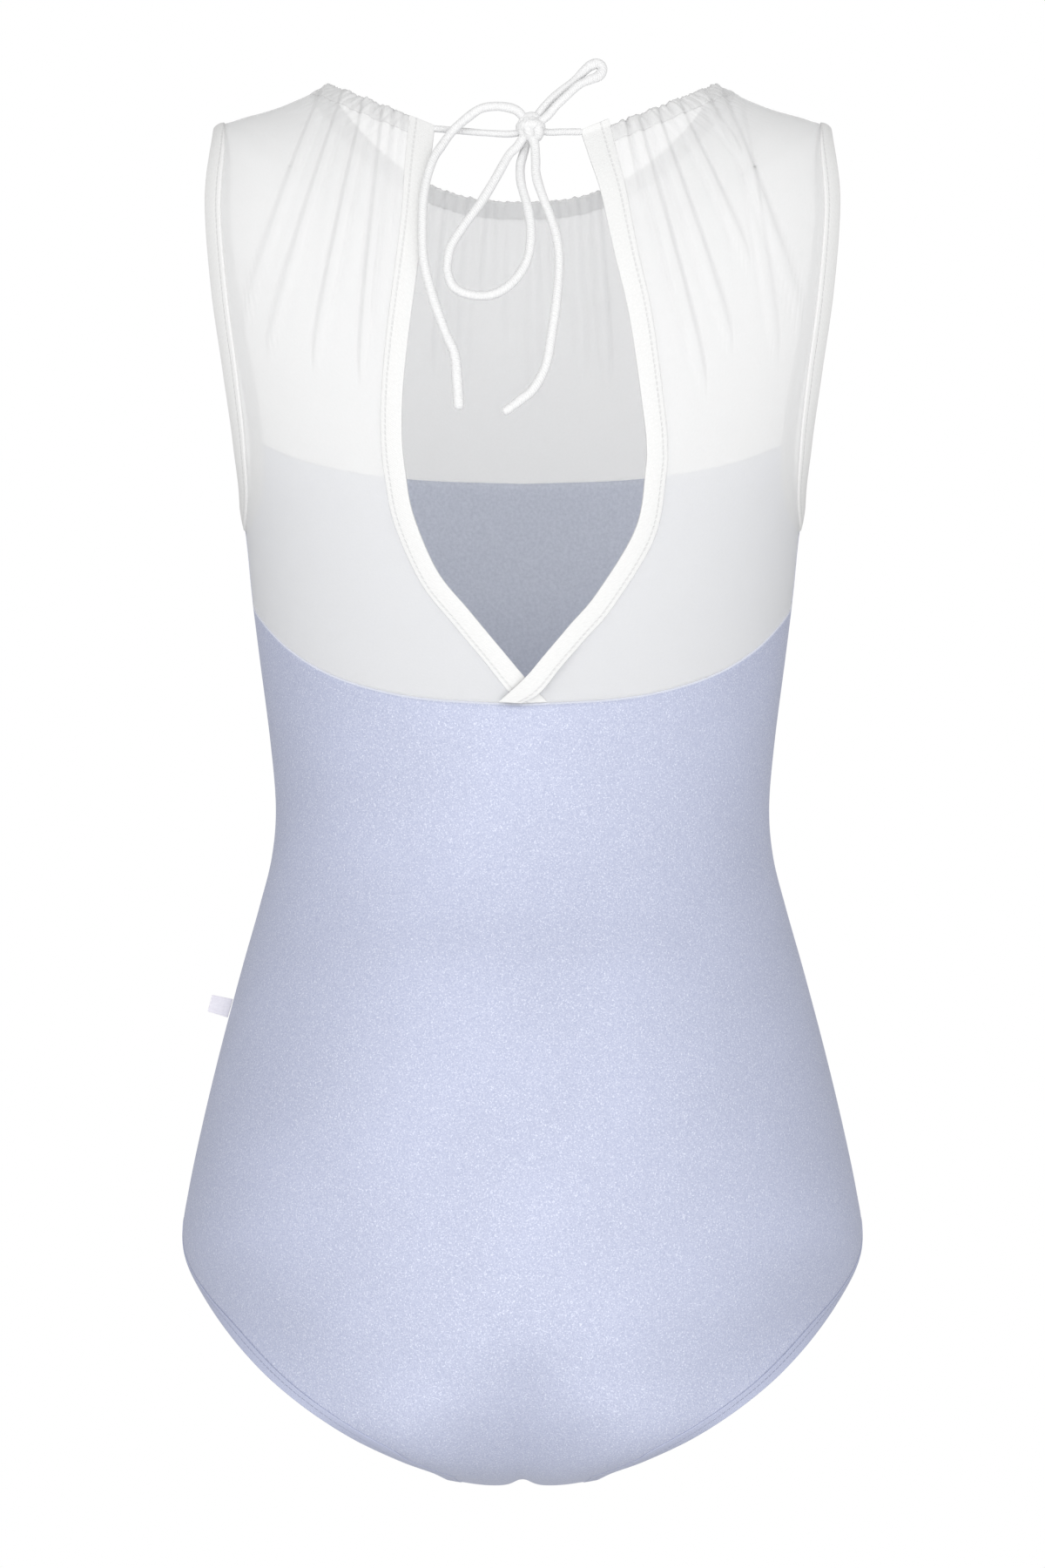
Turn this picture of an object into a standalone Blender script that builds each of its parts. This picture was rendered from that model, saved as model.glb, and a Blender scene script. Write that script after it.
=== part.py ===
"""A sleeveless dance leotard, filled out as if worn but with nobody in it.

The front faces -Y, the back faces +Y and the wearer's left is +X. The origin lies midway between the
neck-side tops of the shoulders. Tables are in millimetres; meshes are made in metres.
"""

import math

import bmesh
import bpy
import numpy as np

MM = 0.001

# Cloth thicknesses and the room left at each seam
VELVET_WALL = 1.2
MESH_WALL = 1.0
BINDING_WALL = 2.0
CASING_WALL = 3.0
HEM_WALL = 1.6
TAG_WALL = 1.2
SEAM_GAP = 0.3
HEM_GAP = 1.0
ROW_PITCH = 24.0
GAP_ROWS = SEAM_GAP / ROW_PITCH
SIDE_SEAM = 0.9984
LEG_TOP_SEAM = 0.9984
CROTCH_ROW = 28.98

# Widths of the narrow pieces
CASING_ROWS = 0.36
LEG_HEM_WIDTH = 5.5

# Rows that mark heights on the form
HIP_ROW = 19
ROUNDNESS = 2.2

# Torso rows from the neckline down to the hip. Each row is a ring that leaves the side seam at
# (side_x, 0, side_z) and reaches the centre back and centre front; sweep says how soon it drops.
# side_x, side_z, back_y, back_z, back_sweep, front_y, front_z, front_sweep
TORSO = (
    (89.0, 0.0, 66.0, -34.0, 1.35, 72.0, -47.0, 2.5),
    (112.0, -9.8, 77.0, -54.0, 1.5, 82.0, -69.0, 2.3),
    (131.0, -15.4, 85.0, -76.0, 1.6, 90.0, -90.0, 2.1),
    (143.0, -21.5, 91.0, -98.0, 1.7, 97.0, -111.0, 2.0),
    (154.7, -45.0, 95.0, -121.0, 1.9, 103.0, -133.0, 2.0),
    (155.6, -85.0, 98.0, -145.0, 2.0, 107.0, -155.0, 2.0),
    (149.2, -125.0, 98.0, -169.0, 2.0, 109.0, -177.0, 2.0),
    (139.2, -162.0, 97.0, -193.0, 2.0, 109.0, -199.0, 2.0),
    (128.4, -195.0, 94.0, -217.0, 2.0, 106.0, -220.0, 2.0),
    (123.7, -234.0, 91.0, -240.0, 2.0, 101.0, -241.0, 2.0),
    (120.2, -262.0, 87.0, -263.0, 2.0, 97.0, -263.0, 2.0),
    (115.3, -300.0, 83.0, -300.0, 2.0, 92.0, -300.0, 2.0),
    (112.8, -330.0, 82.0, -330.0, 2.0, 89.0, -330.0, 2.0),
    (114.6, -353.0, 84.0, -353.0, 2.0, 88.0, -353.0, 2.0),
    (120.3, -376.0, 90.0, -376.0, 2.0, 89.0, -376.0, 2.0),
    (128.5, -405.0, 100.0, -405.0, 2.0, 91.0, -405.0, 2.0),
    (137.8, -440.0, 108.0, -440.0, 2.0, 92.0, -440.0, 2.0),
    (145.8, -473.0, 112.0, -473.0, 2.0, 92.0, -473.0, 2.0),
    (152.2, -503.0, 113.0, -503.0, 2.0, 91.0, -503.0, 2.0),
    (155.3, -524.0, 111.0, -522.0, 2.0, 88.0, -522.0, 2.0),
)

# Rows below the hip. Each runs from the leg edge to the centre line; lobe_y and lobe_z swell it
# outward and down between the two, and arc is 0 for a rounded side and 1 for a plain arc.
# leg_x, leg_y, leg_z, centre_y, centre_z, lobe_y, lobe_z, arc
SEAT = (
    (153.2, 11.0, -538.0, 109.0, -546.0, 2.0, 0.0, 0.25),
    (144.5, 29.0, -553.0, 105.0, -567.0, 5.0, 0.5, 0.5),
    (131.0, 53.0, -570.0, 98.0, -586.0, 8.0, 1.0, 0.8),
    (115.0, 71.0, -586.0, 90.0, -602.0, 11.0, 2.0, 1.0),
    (97.0, 82.0, -599.7, 80.0, -615.0, 12.0, 3.0, 1.0),
    (77.0, 84.0, -612.0, 68.0, -625.5, 11.0, 2.0, 1.0),
    (56.0, 75.0, -622.8, 52.0, -632.5, 8.0, 1.0, 1.0),
    (41.0, 59.0, -629.8, 34.0, -636.2, 5.0, 0.6, 1.0),
    (34.5, 32.0, -635.4, 16.0, -638.6, 2.0, 0.8, 1.0),
    (33.0, 0.0, -638.4, 0.0, -640.4, 0.0, 1.2, 1.0),
)
BELLY = (
    (150.0, 16.0, -533.0, 86.0, -543.0, 1.0, 0.0, 0.15),
    (138.0, 34.0, -543.5, 83.0, -562.0, 2.0, 0.0, 0.35),
    (121.0, 48.0, -557.0, 78.0, -580.0, 3.0, 0.0, 0.6),
    (102.0, 57.0, -571.0, 71.0, -596.0, 4.0, 1.0, 0.85),
    (83.0, 60.0, -586.0, 62.0, -610.0, 4.0, 1.0, 1.0),
    (65.0, 56.0, -601.0, 51.0, -622.0, 4.0, 1.5, 1.0),
    (50.0, 46.0, -614.5, 38.0, -630.5, 3.0, 1.5, 1.0),
    (39.0, 32.0, -625.5, 25.0, -636.0, 2.0, 1.5, 1.0),
    (34.0, 15.0, -634.0, 12.0, -639.3, 1.0, 1.2, 1.0),
    (33.0, 0.0, -638.4, 0.0, -640.4, 0.0, 1.2, 1.0),
)

# The open back. Each row across a binding gives its free edge and its seam with the mesh, and how far
# it is lifted where it crosses over the other.
# edge_x, edge_z, seam_x, seam_z, lift
KEYHOLE_LEFT = (
    (39.6, -22.8, 51.0, -17.6, 0.0),
    (41.5, -42.0, 52.8, -40.0, 0.0),
    (43.6, -62.0, 54.0, -61.0, 0.0),
    (46.4, -84.4, 56.4, -83.6, 0.0),
    (50.7, -116.4, 60.4, -116.0, 0.0),
    (53.4, -143.3, 62.8, -144.0, 0.0),
    (53.8, -164.4, 63.0, -166.0, 0.0),
    (52.3, -180.0, 61.2, -183.0, 0.0),
    (48.8, -199.1, 57.0, -203.5, 0.0),
    (38.2, -224.1, 45.0, -230.0, 0.0),
    (23.8, -242.0, 30.3, -248.6, 0.0),
    (10.5, -258.0, 17.0, -264.6, 0.0),
    (-1.2, -272.0, 6.6, -277.6, 0.0),
    (-11.0, -282.9, 0.2, -283.2, 0.0),
)
KEYHOLE_RIGHT = (
    (26.1, -24.8, 38.7, -19.4, 0.0),
    (30.5, -39.0, 42.4, -36.0, 0.0),
    (35.1, -53.6, 46.0, -51.0, 0.0),
    (41.3, -82.1, 51.5, -80.5, 0.0),
    (48.0, -111.7, 57.9, -110.5, 0.0),
    (54.2, -155.4, 63.6, -155.4, 0.0),
    (55.4, -168.3, 64.6, -169.5, 0.0),
    (55.0, -178.8, 64.0, -181.5, 0.0),
    (50.7, -205.0, 58.8, -209.5, 0.0),
    (33.5, -233.8, 40.3, -240.2, 0.0),
    (21.0, -248.6, 27.9, -254.6, 0.8),
    (10.0, -261.6, 16.9, -267.4, 2.6),
    (1.2, -272.0, 7.8, -278.6, 3.4),
    (-10.6, -282.8, -0.6, -283.2, 2.4),
)
# The mesh beside the crossing turns straight down to the velvet instead of following the upper binding
MESH_CORNER_RIGHT = ((13.4, -275.5), (13.6, -284.5))

# The back velvet's top seam: share of the way from centre back to the side, height
BACK_SEAM = (
    (0.0, -283.7),
    (0.22, -281.0),
    (0.38, -275.8),
    (0.52, -268.6),
    (0.66, -258.6),
    (0.82, -246.0),
    (1.0, -236.0),
)
# The front velvet's top seam, in the same way, from the centre front to the armhole
FRONT_SEAM = ((0.0, -177.5), (0.35, -175.5), (0.7, -169.5), (1.0, -161.0))

# The armhole's free edge and its binding's seam are two ovals on the form, centred on the side.
# top_row, bottom_row, reach round to the back, reach round to the front
ARMHOLE_EDGE = (2.95, 7.95, 0.300, 0.330)
ARMHOLE_SEAM = (2.55, 8.22, 0.365, 0.392)
ARMHOLE_FRONT_SKEW = 0.12

# Gathers in the mesh, each a soft ridge from the neck casing downward.
# start and end are shares of the way across the panel, end_row is where it dies out,
# height in millimetres, spread as a share of the panel at the top and at the end
GATHERS_BACK_LEFT = (
    (0.90, 0.88, 5.0, 1.5, 0.045, 0.075),
    (0.75, 0.73, 5.4, 1.9, 0.050, 0.080),
    (0.60, 0.50, 4.1, 1.1, 0.040, 0.070),
    (0.46, 0.45, 5.3, 1.8, 0.045, 0.080),
    (0.35, 0.26, 3.8, 1.0, 0.035, 0.060),
    (0.26, 0.20, 5.3, 1.7, 0.040, 0.070),
    (0.16, 0.10, 3.2, 1.0, 0.035, 0.055),
    (0.07, 0.05, 3.0, 1.2, 0.035, 0.055),
)
GATHERS_BACK_RIGHT = (
    (0.07, 0.06, 2.4, 1.2, 0.035, 0.050),
    (0.15, 0.23, 5.5, 1.9, 0.040, 0.075),
    (0.25, 0.36, 5.1, 1.9, 0.040, 0.075),
    (0.36, 0.47, 3.9, 1.3, 0.040, 0.065),
    (0.47, 0.66, 5.2, 1.8, 0.045, 0.080),
    (0.59, 0.84, 5.0, 1.6, 0.045, 0.080),
    (0.72, 0.80, 3.6, 1.1, 0.040, 0.065),
    (0.85, 0.93, 4.4, 1.3, 0.045, 0.070),
)
FRONT_GATHER_COUNT = 18
FRONT_GATHER_REACH = 0.93
FRONT_GATHER_END_ROWS = (3.6, 2.4, 4.3, 3.0, 2.2, 3.9)
FRONT_GATHER_HEIGHTS = (1.7, 1.1, 1.5, 1.2, 0.9)
FRONT_GATHER_SPREAD = (0.026, 0.045)
GATHER_EDGE_FADE = 0.1

# A shallow crease lifts the centre of the seat where it turns under
SEAT_CREASE_DEPTH = 2.2
SEAT_CREASE_WIDTH = 5.0
SEAT_CREASE_ROWS = (25.5, 28.0)

# Panel columns, and the rows of each stretch of a panel as shares of the way down it
VELVET_COLUMNS = 20
EDGE_CROWDING = 1.35
BACK_YOKE_COLUMNS = 26
FRONT_YOKE_COLUMNS = 56
BINDING_COLUMNS = 2
SHOULDER_STEPS = (0.0, 0.35, 0.7, 1.0)
FRONT_ARMHOLE_STEPS = (0.03, 0.12, 0.27, 0.47, 0.72, 1.0)
FRONT_UNDERARM_STEPS = (0.0, 0.3, 0.57, 0.78, 0.93, 1.0)
BACK_ARMHOLE_STEPS = (0.03, 0.12, 0.27, 0.45, 0.63, 0.79, 0.91, 0.975, 1.0)
BACK_UNDERARM_STEPS = (0.25, 0.5, 0.7, 0.85, 1.0)
FLANK_STEPS = (0.12, 0.24, 0.36, 0.49, 0.62, 0.75, 0.88, 1.0)
LEG_TOP_ROW = 18.7
LEG_ROWS = (19.0, 19.5, 20.0, 20.6, 21.3, 22.0, 22.8, 23.4, 24.0, 24.5, 25.0, 25.5, 26.0, 26.8, 27.6, 28.4, CROTCH_ROW)

# Side tag corners as seen from the back: inner top, inner bottom, outer top, outer bottom
TAG_CORNERS = ((133.0, -418.4), (135.4, -426.8), (142.6, -416.4), (144.6, -424.0))

# The drawstring: thin where it spans the opening, round and fuller where it hangs free
SPAN_DIAMETER = 3.2
CORD_DIAMETER = 4.8
KNOT_SIZE = (14.0, 12.4, 13.0)
KNOT_AT = (-3.2, 69.4, -25.6)

# Routes seen from the back: x, z, and how far the cord's centre lies behind the back's surface
SPAN_LEFT_ROUTE = ((39.3, -26.0, 0.0), (28.0, -27.2, 0.6), (16.0, -28.4, 1.4), (4.2, -28.8, 2.0))
SPAN_RIGHT_ROUTE = ((-25.8, -26.8, 0.0), (-18.0, -26.8, 0.8), (-10.6, -27.2, 1.8))
END_LEFT_ROUTE = (
    (0.3, -18.7, 4.6),
    (4.0, -16.0, 5.4),
    (11.0, -14.8, 6.2),
    (18.6, -15.8, 6.6),
    (25.0, -20.0, 6.6),
    (31.2, -25.4, 6.4),
    (36.0, -32.0, 5.4),
    (40.0, -38.6, 5.0),
    (42.8, -47.6, 4.6),
    (44.4, -57.2, 4.6),
    (44.8, -69.6, 4.5),
    (44.2, -85.0, 4.3),
    (40.4, -101.0, 3.8),
    (34.8, -117.0, 3.4),
    (30.4, -127.6, 3.4),
    (29.2, -138.4, 3.4),
    (28.4, -150.8, 3.4),
)
LOOP_LOW_ROUTE = (
    (2.2, -32.7, 6.0),
    (6.2, -37.0, 5.4),
    (12.0, -47.6, 3.8),
    (18.6, -58.8, 3.4),
    (26.0, -69.2, 3.4),
    (31.8, -78.6, 3.4),
    (33.5, -86.0, 3.4),
    (33.4, -91.2, 3.4),
    (30.6, -97.6, 3.4),
    (23.4, -101.0, 3.4),
    (13.6, -101.0, 3.4),
    (4.4, -95.4, 3.4),
    (-2.2, -85.0, 3.4),
    (-3.8, -72.0, 3.4),
    (-2.2, -60.8, 3.4),
    (0.6, -50.0, 2.6),
    (0.9, -41.4, 2.0),
    (-1.2, -33.3, 1.4),
)
END_RIGHT_ROUTE = (
    (-5.4, -31.9, 6.2),
    (-5.9, -38.4, 5.8),
    (-6.2, -46.6, 5.0),
    (-9.0, -56.0, 4.4),
    (-12.8, -66.2, 3.8),
    (-15.4, -75.6, 3.8),
    (-16.4, -86.8, 3.4),
    (-15.2, -103.8, 3.4),
    (-12.8, -120.2, 3.4),
    (-10.4, -133.0, 3.4),
    (-5.0, -143.2, 3.4),
    (1.2, -148.6, 3.4),
    (7.4, -153.2, 3.4),
)
LOOP_HIGH_ROUTE = (
    (-6.6, -19.0, 2.4),
    (-11.8, -12.6, 2.2),
    (-18.2, -7.0, 2.0),
    (-22.0, -4.4, 2.0),
    (-26.4, 0.8, 2.0),
    (-31.4, 5.2, 2.0),
    (-35.2, 5.6, 2.0),
    (-35.9, 1.6, 4.6),
    (-32.4, -2.2, 5.8),
    (-25.4, -5.0, 6.9),
    (-21.2, -9.6, 6.9),
    (-15.8, -14.4, 6.6),
    (-10.6, -20.2, 5.6),
)


def catmull_rom(table, position):
    """A smooth value between the rows of a table, at a row position that may be a fraction."""
    rows = np.asarray(table, dtype=float)
    position = min(max(position, 0.0), len(rows) - 1.0)
    first = min(int(position), len(rows) - 2)
    share = position - first
    before = rows[first - 1] if first else 2 * rows[0] - rows[1]
    start = rows[first]
    end = rows[first + 1]
    after = rows[first + 2] if first + 2 < len(rows) else 2 * end - start
    return 0.5 * (
        2 * start
        + (end - before) * share
        + (2 * before - 5 * start + 4 * end - after) * share**2
        + (3 * start - before - 3 * end + after) * share**3
    )


def form_rows(face):
    """All the rows of one face, from the neckline to the crotch, with the same columns throughout."""
    rows = []
    for side_x, side_z, back_y, back_z, back_sweep, front_y, front_z, front_sweep in TORSO:
        centre = (back_y, back_z, back_sweep) if face == "back" else (front_y, front_z, front_sweep)
        rows.append((side_x, 0.0, side_z, *centre, 0.0, 0.0, 0.0))
    for leg_x, leg_y, leg_z, mid_y, mid_z, lobe_y, lobe_z, arc in SEAT if face == "back" else BELLY:
        rows.append((leg_x, leg_y, leg_z, mid_y, mid_z, 2.0, lobe_y, lobe_z, arc))
    return np.array(rows)


ROWS = {"back": form_rows("back"), "front": form_rows("front")}


def across(row, share):
    """A point on one row: share is 0 at the centre line and 1 at the side, negative on the right."""
    side_x, side_y, side_z, mid_y, mid_z, sweep, lobe_y, lobe_z, arc = row
    part = min(abs(share), 1.0)
    round_part = math.sin(part * math.pi / 2) ** (2 / ROUNDNESS)
    width = (1 - arc) * round_part + arc * part
    hollow = max(0.0, 1 - width**ROUNDNESS) ** (1 / ROUNDNESS + arc * (1 - 1 / ROUNDNESS))
    swell = math.sin(math.pi * width)
    x = math.copysign(side_x * width, share)
    y = side_y + (mid_y - side_y) * hollow + lobe_y * swell
    z = side_z + (mid_z - side_z) * (1 - width**sweep) - lobe_z * swell
    return np.array((x, y, z))


def form(face, row, share):
    """The garment's surface: row counts down from the neckline, share runs across from the centre."""
    section = catmull_rom(ROWS[face], row)
    if row <= HIP_ROW:
        section[1] = 0.0
        section[6:] = 0.0
    point = across(section, share)
    if face == "front":
        point[1] = -point[1]
    return point


def outward(face, row, share):
    """The surface's outward direction, from two short steps along it."""
    step = 0.01
    down = form(face, min(row + step, 29.0), share) - form(face, max(row - step, 0.0), share)
    over = form(face, row, share + step) - form(face, row, share - step)
    normal = np.cross(down, over) if face == "front" else np.cross(over, down)
    return normal / np.linalg.norm(normal)


def row_at_height(face, share, height):
    """The row whose surface has this height at this share across."""
    low = 0.0
    high = 29.0
    for _ in range(40):
        middle = (low + high) / 2
        if form(face, middle, share)[2] > height:
            low = middle
        else:
            high = middle
    return (low + high) / 2


def spot_on_back(x, z):
    """The row and share of the back's point with this x and z, above the hip."""
    low = 0.0
    high = float(HIP_ROW)
    for _ in range(40):
        row = (low + high) / 2
        side_x, _, side_z, _, mid_z, sweep = catmull_rom(ROWS["back"], row)[:6]
        width = min(abs(x) / side_x, 1.0)
        if side_z + (mid_z - side_z) * (1 - width**sweep) > z:
            low = row
        else:
            high = row
    share = math.asin(width ** (ROUNDNESS / 2)) * 2 / math.pi
    return row, math.copysign(share, x)


def oval(rim, face, row):
    """How far across the form an armhole oval lies at this row."""
    top, bottom, back_reach, front_reach = rim
    rise = ((top + bottom) / 2 - row) / ((bottom - top) / 2)
    reach = back_reach
    if face == "front":
        reach = front_reach * (1 - ARMHOLE_FRONT_SKEW * rise)
    return 1 - reach * math.sqrt(max(0.0, 1 - rise * rise))


def armhole_share(face, row):
    """How far across a panel reaches at this row: to the armhole binding, or to the side seam."""
    return min(oval(ARMHOLE_SEAM, face, row), SIDE_SEAM)


def leg_edge_row(row):
    """The leg edge's row beside a row of the hem's seam; they part where the leg opening meets the side."""
    lead = HIP_ROW - LEG_TOP_ROW
    return row + lead * max(0.0, 1 - (row - LEG_TOP_ROW) / (6 * lead))


def leg_share(face, row):
    """How far across the velvet reaches at this row, a hem's width inside the leg edge."""
    if row <= LEG_TOP_ROW:
        return LEG_TOP_SEAM
    edge_row = min(leg_edge_row(row), 29.0)
    edge = form(face, edge_row, 1)
    along = form(face, min(edge_row + 0.05, 29.0), 1) - form(face, edge_row - 0.05, 1)
    along = along / np.linalg.norm(along)
    low = 0.4
    high = 1.0
    for _ in range(30):
        middle = (low + high) / 2
        reach = form(face, row, middle) - edge
        if np.linalg.norm(reach - np.dot(reach, along) * along) > LEG_HEM_WIDTH:
            low = middle
        else:
            high = middle
    return (low + high) / 2


def curve_value(table, position):
    """A height read from a short table of (share, height) rows."""
    columns = np.array(table)
    return float(np.interp(position, columns[:, 0], columns[:, 1]))


def smooth_table(table, pieces=8):
    """The same table with smooth steps between its rows."""
    count = (len(table) - 1) * pieces
    return np.array([catmull_rom(table, number / pieces) for number in range(count + 1)])


BACK_SEAM_CURVE = smooth_table(BACK_SEAM)
FRONT_SEAM_CURVE = smooth_table(FRONT_SEAM)


def front_seam_outer_row():
    """The row where the front velvet's top seam meets the armhole binding."""
    height = FRONT_SEAM[-1][1]
    low, high = ARMHOLE_SEAM[:2]
    for _ in range(40):
        middle = (low + high) / 2
        if form("front", middle, armhole_share("front", middle))[2] > height:
            low = middle
        else:
            high = middle
    return (low + high) / 2


FRONT_SEAM_ROW = front_seam_outer_row()


def front_seam_row(part):
    """The front seam's row at a part of the way from the centre to the armhole."""
    share = abs(part) * armhole_share("front", FRONT_SEAM_ROW)
    return row_at_height("front", share, curve_value(FRONT_SEAM_CURVE, abs(part)))


def back_seam_row(share):
    """The back seam's row at a share across."""
    return row_at_height("back", abs(share), curve_value(BACK_SEAM_CURVE, abs(share)))


def keyhole_line(table, mirror):
    """A keyhole table as closely spaced rows: free edge, seam, lift, and the seam's row and share."""
    lines = []
    for edge_x, edge_z, seam_x, seam_z, lift in smooth_table(table):
        row, share = spot_on_back(mirror * seam_x, seam_z)
        lines.append((mirror * edge_x, edge_z, mirror * seam_x, seam_z, lift, row, share))
    return np.array(lines)


def mesh_edge(lines, corner):
    """The rows and shares of the mesh's inner edge beside one keyhole binding."""
    edge = [tuple(line[5:7]) for line in lines]
    if corner:
        top_of_corner = spot_on_back(-corner[0][0], corner[0][1])
        edge = [spot for spot in edge if spot[0] < top_of_corner[0] - 0.3]
        edge += [spot_on_back(-x, z) for x, z in corner]
    return np.array(edge)


KEYHOLE = {1: keyhole_line(KEYHOLE_LEFT, 1), -1: keyhole_line(KEYHOLE_RIGHT, -1)}
MESH_EDGE = {1: mesh_edge(KEYHOLE[1], ()), -1: mesh_edge(KEYHOLE[-1], MESH_CORNER_RIGHT)}


def yoke_inner_share(side, row):
    """How far from the centre back the mesh starts at this row."""
    edge = MESH_EDGE[side]
    return abs(float(np.interp(row, edge[:, 0], edge[:, 1])))


def gather_height(gathers, top_row, part, row):
    """The summed height of the gathers at a part of the way across a panel and a row down it."""
    height = 0.0
    for start, end, end_row, ridge, spread_top, spread_end in gathers:
        down = min(max((row - top_row) / (end_row - top_row), 0.0), 1.0)
        middle = start + (end - start) * down
        spread = spread_top + (spread_end - spread_top) * down
        height += ridge * (1 - down) ** 0.8 * math.exp(-(((part - middle) / spread) ** 2))
    return height


def front_gathers():
    """The front's finer gathers, fanned over the panel, with uneven lengths and heights."""
    gathers = []
    for number in range(FRONT_GATHER_COUNT):
        start = FRONT_GATHER_REACH * (2 * number / (FRONT_GATHER_COUNT - 1) - 1)
        end_row = FRONT_GATHER_END_ROWS[number % len(FRONT_GATHER_END_ROWS)]
        height = FRONT_GATHER_HEIGHTS[number % len(FRONT_GATHER_HEIGHTS)]
        gathers.append((start, 0.9 * start, end_row, height, *FRONT_GATHER_SPREAD))
    return gathers


def raised(face, row, share, height):
    """A point of the form moved outward."""
    point = form(face, row, share)
    if height:
        point = point + outward(face, row, share) * height
    return point


def shade(name, colour, roughness, metallic=0.0, alpha=1.0):
    """A plain surface finish."""
    material = bpy.data.materials.new(name)
    material.use_nodes = True
    shader = material.node_tree.nodes["Principled BSDF"]
    shader.inputs["Base Color"].default_value = (*colour, 1.0)
    shader.inputs["Roughness"].default_value = roughness
    shader.inputs["Metallic"].default_value = metallic
    shader.inputs["Alpha"].default_value = alpha
    return material


def add(mesh_or_curve, name, material):
    """Links new data to the garment's collection as a named object with its finish."""
    item = bpy.data.objects.new(name, mesh_or_curve)
    item.data.materials.append(material)
    garment.objects.link(item)
    return item


def cloth(name, places, wall, material, closed=False):
    """A flat grid laid onto rows of points, then given the cloth's thickness, half to each side."""
    rows = len(places) - 1
    columns = len(places[0]) - 1
    mesh = bpy.data.meshes.new(name)
    grid = bmesh.new()
    bmesh.ops.create_grid(grid, x_segments=columns, y_segments=rows, size=1.0)
    for vert in grid.verts:
        column = round((vert.co.x + 1) / 2 * columns)
        row = round((vert.co.y + 1) / 2 * rows)
        vert.co = places[row][column] * MM
    if closed:
        bmesh.ops.remove_doubles(grid, verts=grid.verts, dist=0.00001)
    grid.to_mesh(mesh)
    grid.free()
    mesh.shade_smooth()
    item = add(mesh, name, material)
    thickness = item.modifiers.new("cloth thickness", "SOLIDIFY")
    thickness.thickness = wall * MM
    thickness.offset = 0.0
    return item


def cord(name, points, diameter, material):
    """A round cord: a poly curve through a smooth run of points, with closed ends."""
    curve = bpy.data.curves.new(name, "CURVE")
    curve.dimensions = "3D"
    curve.bevel_depth = diameter / 2 * MM
    curve.bevel_resolution = 2
    curve.use_fill_caps = True
    length = sum(np.linalg.norm(b - a) for a, b in zip(points, points[1:]))
    count = max(3, math.ceil(length / (diameter * 1.9)))
    spline = curve.splines.new("POLY")
    spline.points.add(count)
    for number, spot in enumerate(spline.points):
        position = number / count * (len(points) - 1)
        spot.co = (*(catmull_rom(points, position) * MM), 1.0)
    return add(curve, name, material)


def behind_back(route):
    """Route points seen from the back, laid behind the back's surface by each one's lift."""
    points = []
    for x, z, lift in route:
        row, share = spot_on_back(x, z)
        points.append(np.array((x, form("back", row, share)[1] + lift, z)))
    return np.array(points)


for old in list(bpy.data.objects):
    bpy.data.objects.remove(old, do_unlink=True)
garment = bpy.data.collections.new("leotard")
bpy.context.scene.collection.children.link(garment)

velvet = shade("velvet", (0.50, 0.55, 0.74), 0.42, 0.35)
mesh_white = shade("stretch mesh", (0.86, 0.86, 0.87), 0.7, 0.0, 0.8)
binding_white = shade("binding", (0.88, 0.88, 0.88), 0.65)
cord_white = shade("cord", (0.87, 0.87, 0.87), 0.7)
tag_white = shade("tag", (0.8, 0.79, 0.84), 0.6)


def velvet_parts():
    """Column positions from side to side, closer together toward the sides."""
    even = np.linspace(-1, 1, VELVET_COLUMNS + 1)
    return np.sign(even) * (1 - (1 - np.abs(even)) ** EDGE_CROWDING)


# Velvet back: from its curved top seam at the waist to the crotch seam.
def body_back_places():
    parts = velvet_parts()
    tops = [back_seam_row(part * SIDE_SEAM) + GAP_ROWS / 2 for part in parts]
    places = []
    for step in (0.0, *FLANK_STEPS):
        share = LEG_TOP_SEAM if step == 1.0 else SIDE_SEAM
        places.append(
            [form("back", top + (LEG_TOP_ROW - top) * step, part * share) for part, top in zip(parts, tops)]
        )
    crease_start, crease_full = SEAT_CREASE_ROWS
    for row in LEG_ROWS:
        share = leg_share("back", row)
        depth = SEAT_CREASE_DEPTH * min(max((row - crease_start) / (crease_full - crease_start), 0.0), 1.0)
        line = []
        for part in parts:
            point = form("back", row, part * share)
            lift = depth * math.exp(-((point[0] / SEAT_CREASE_WIDTH) ** 2))
            line.append(point - outward("back", row, part * share) * lift)
        places.append(line)
    return places


cloth("body_back", body_back_places(), VELVET_WALL, velvet)


# Velvet front: from its top seam on the chest, round the underarms, to the crotch seam.
def body_front_places():
    parts = velvet_parts()
    tops = [front_seam_row(part) + GAP_ROWS / 2 for part in parts]
    underarm = ARMHOLE_SEAM[1]
    places = []
    for step in FRONT_UNDERARM_STEPS:
        edge_row = tops[-1] + (underarm - tops[-1]) * step
        share = armhole_share("front", edge_row)
        places.append(
            [form("front", top + (underarm - top) * step, part * share) for part, top in zip(parts, tops)]
        )
    for step in FLANK_STEPS:
        row = underarm + (LEG_TOP_ROW - underarm) * step
        share = LEG_TOP_SEAM if step == 1.0 else SIDE_SEAM
        places.append([form("front", row, part * share) for part in parts])
    crease_start, crease_full = SEAT_CREASE_ROWS
    for row in LEG_ROWS:
        share = leg_share("front", row)
        depth = SEAT_CREASE_DEPTH * min(max((row - crease_full) / (CROTCH_ROW - crease_full), 0.0), 1.0)
        line = []
        for part in parts:
            point = form("front", row, part * share)
            lift = depth * math.exp(-((point[0] / SEAT_CREASE_WIDTH) ** 2))
            line.append(point - outward("front", row, part * share) * lift)
        places.append(line)
    return places


cloth("body_front", body_front_places(), VELVET_WALL, velvet)


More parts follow.
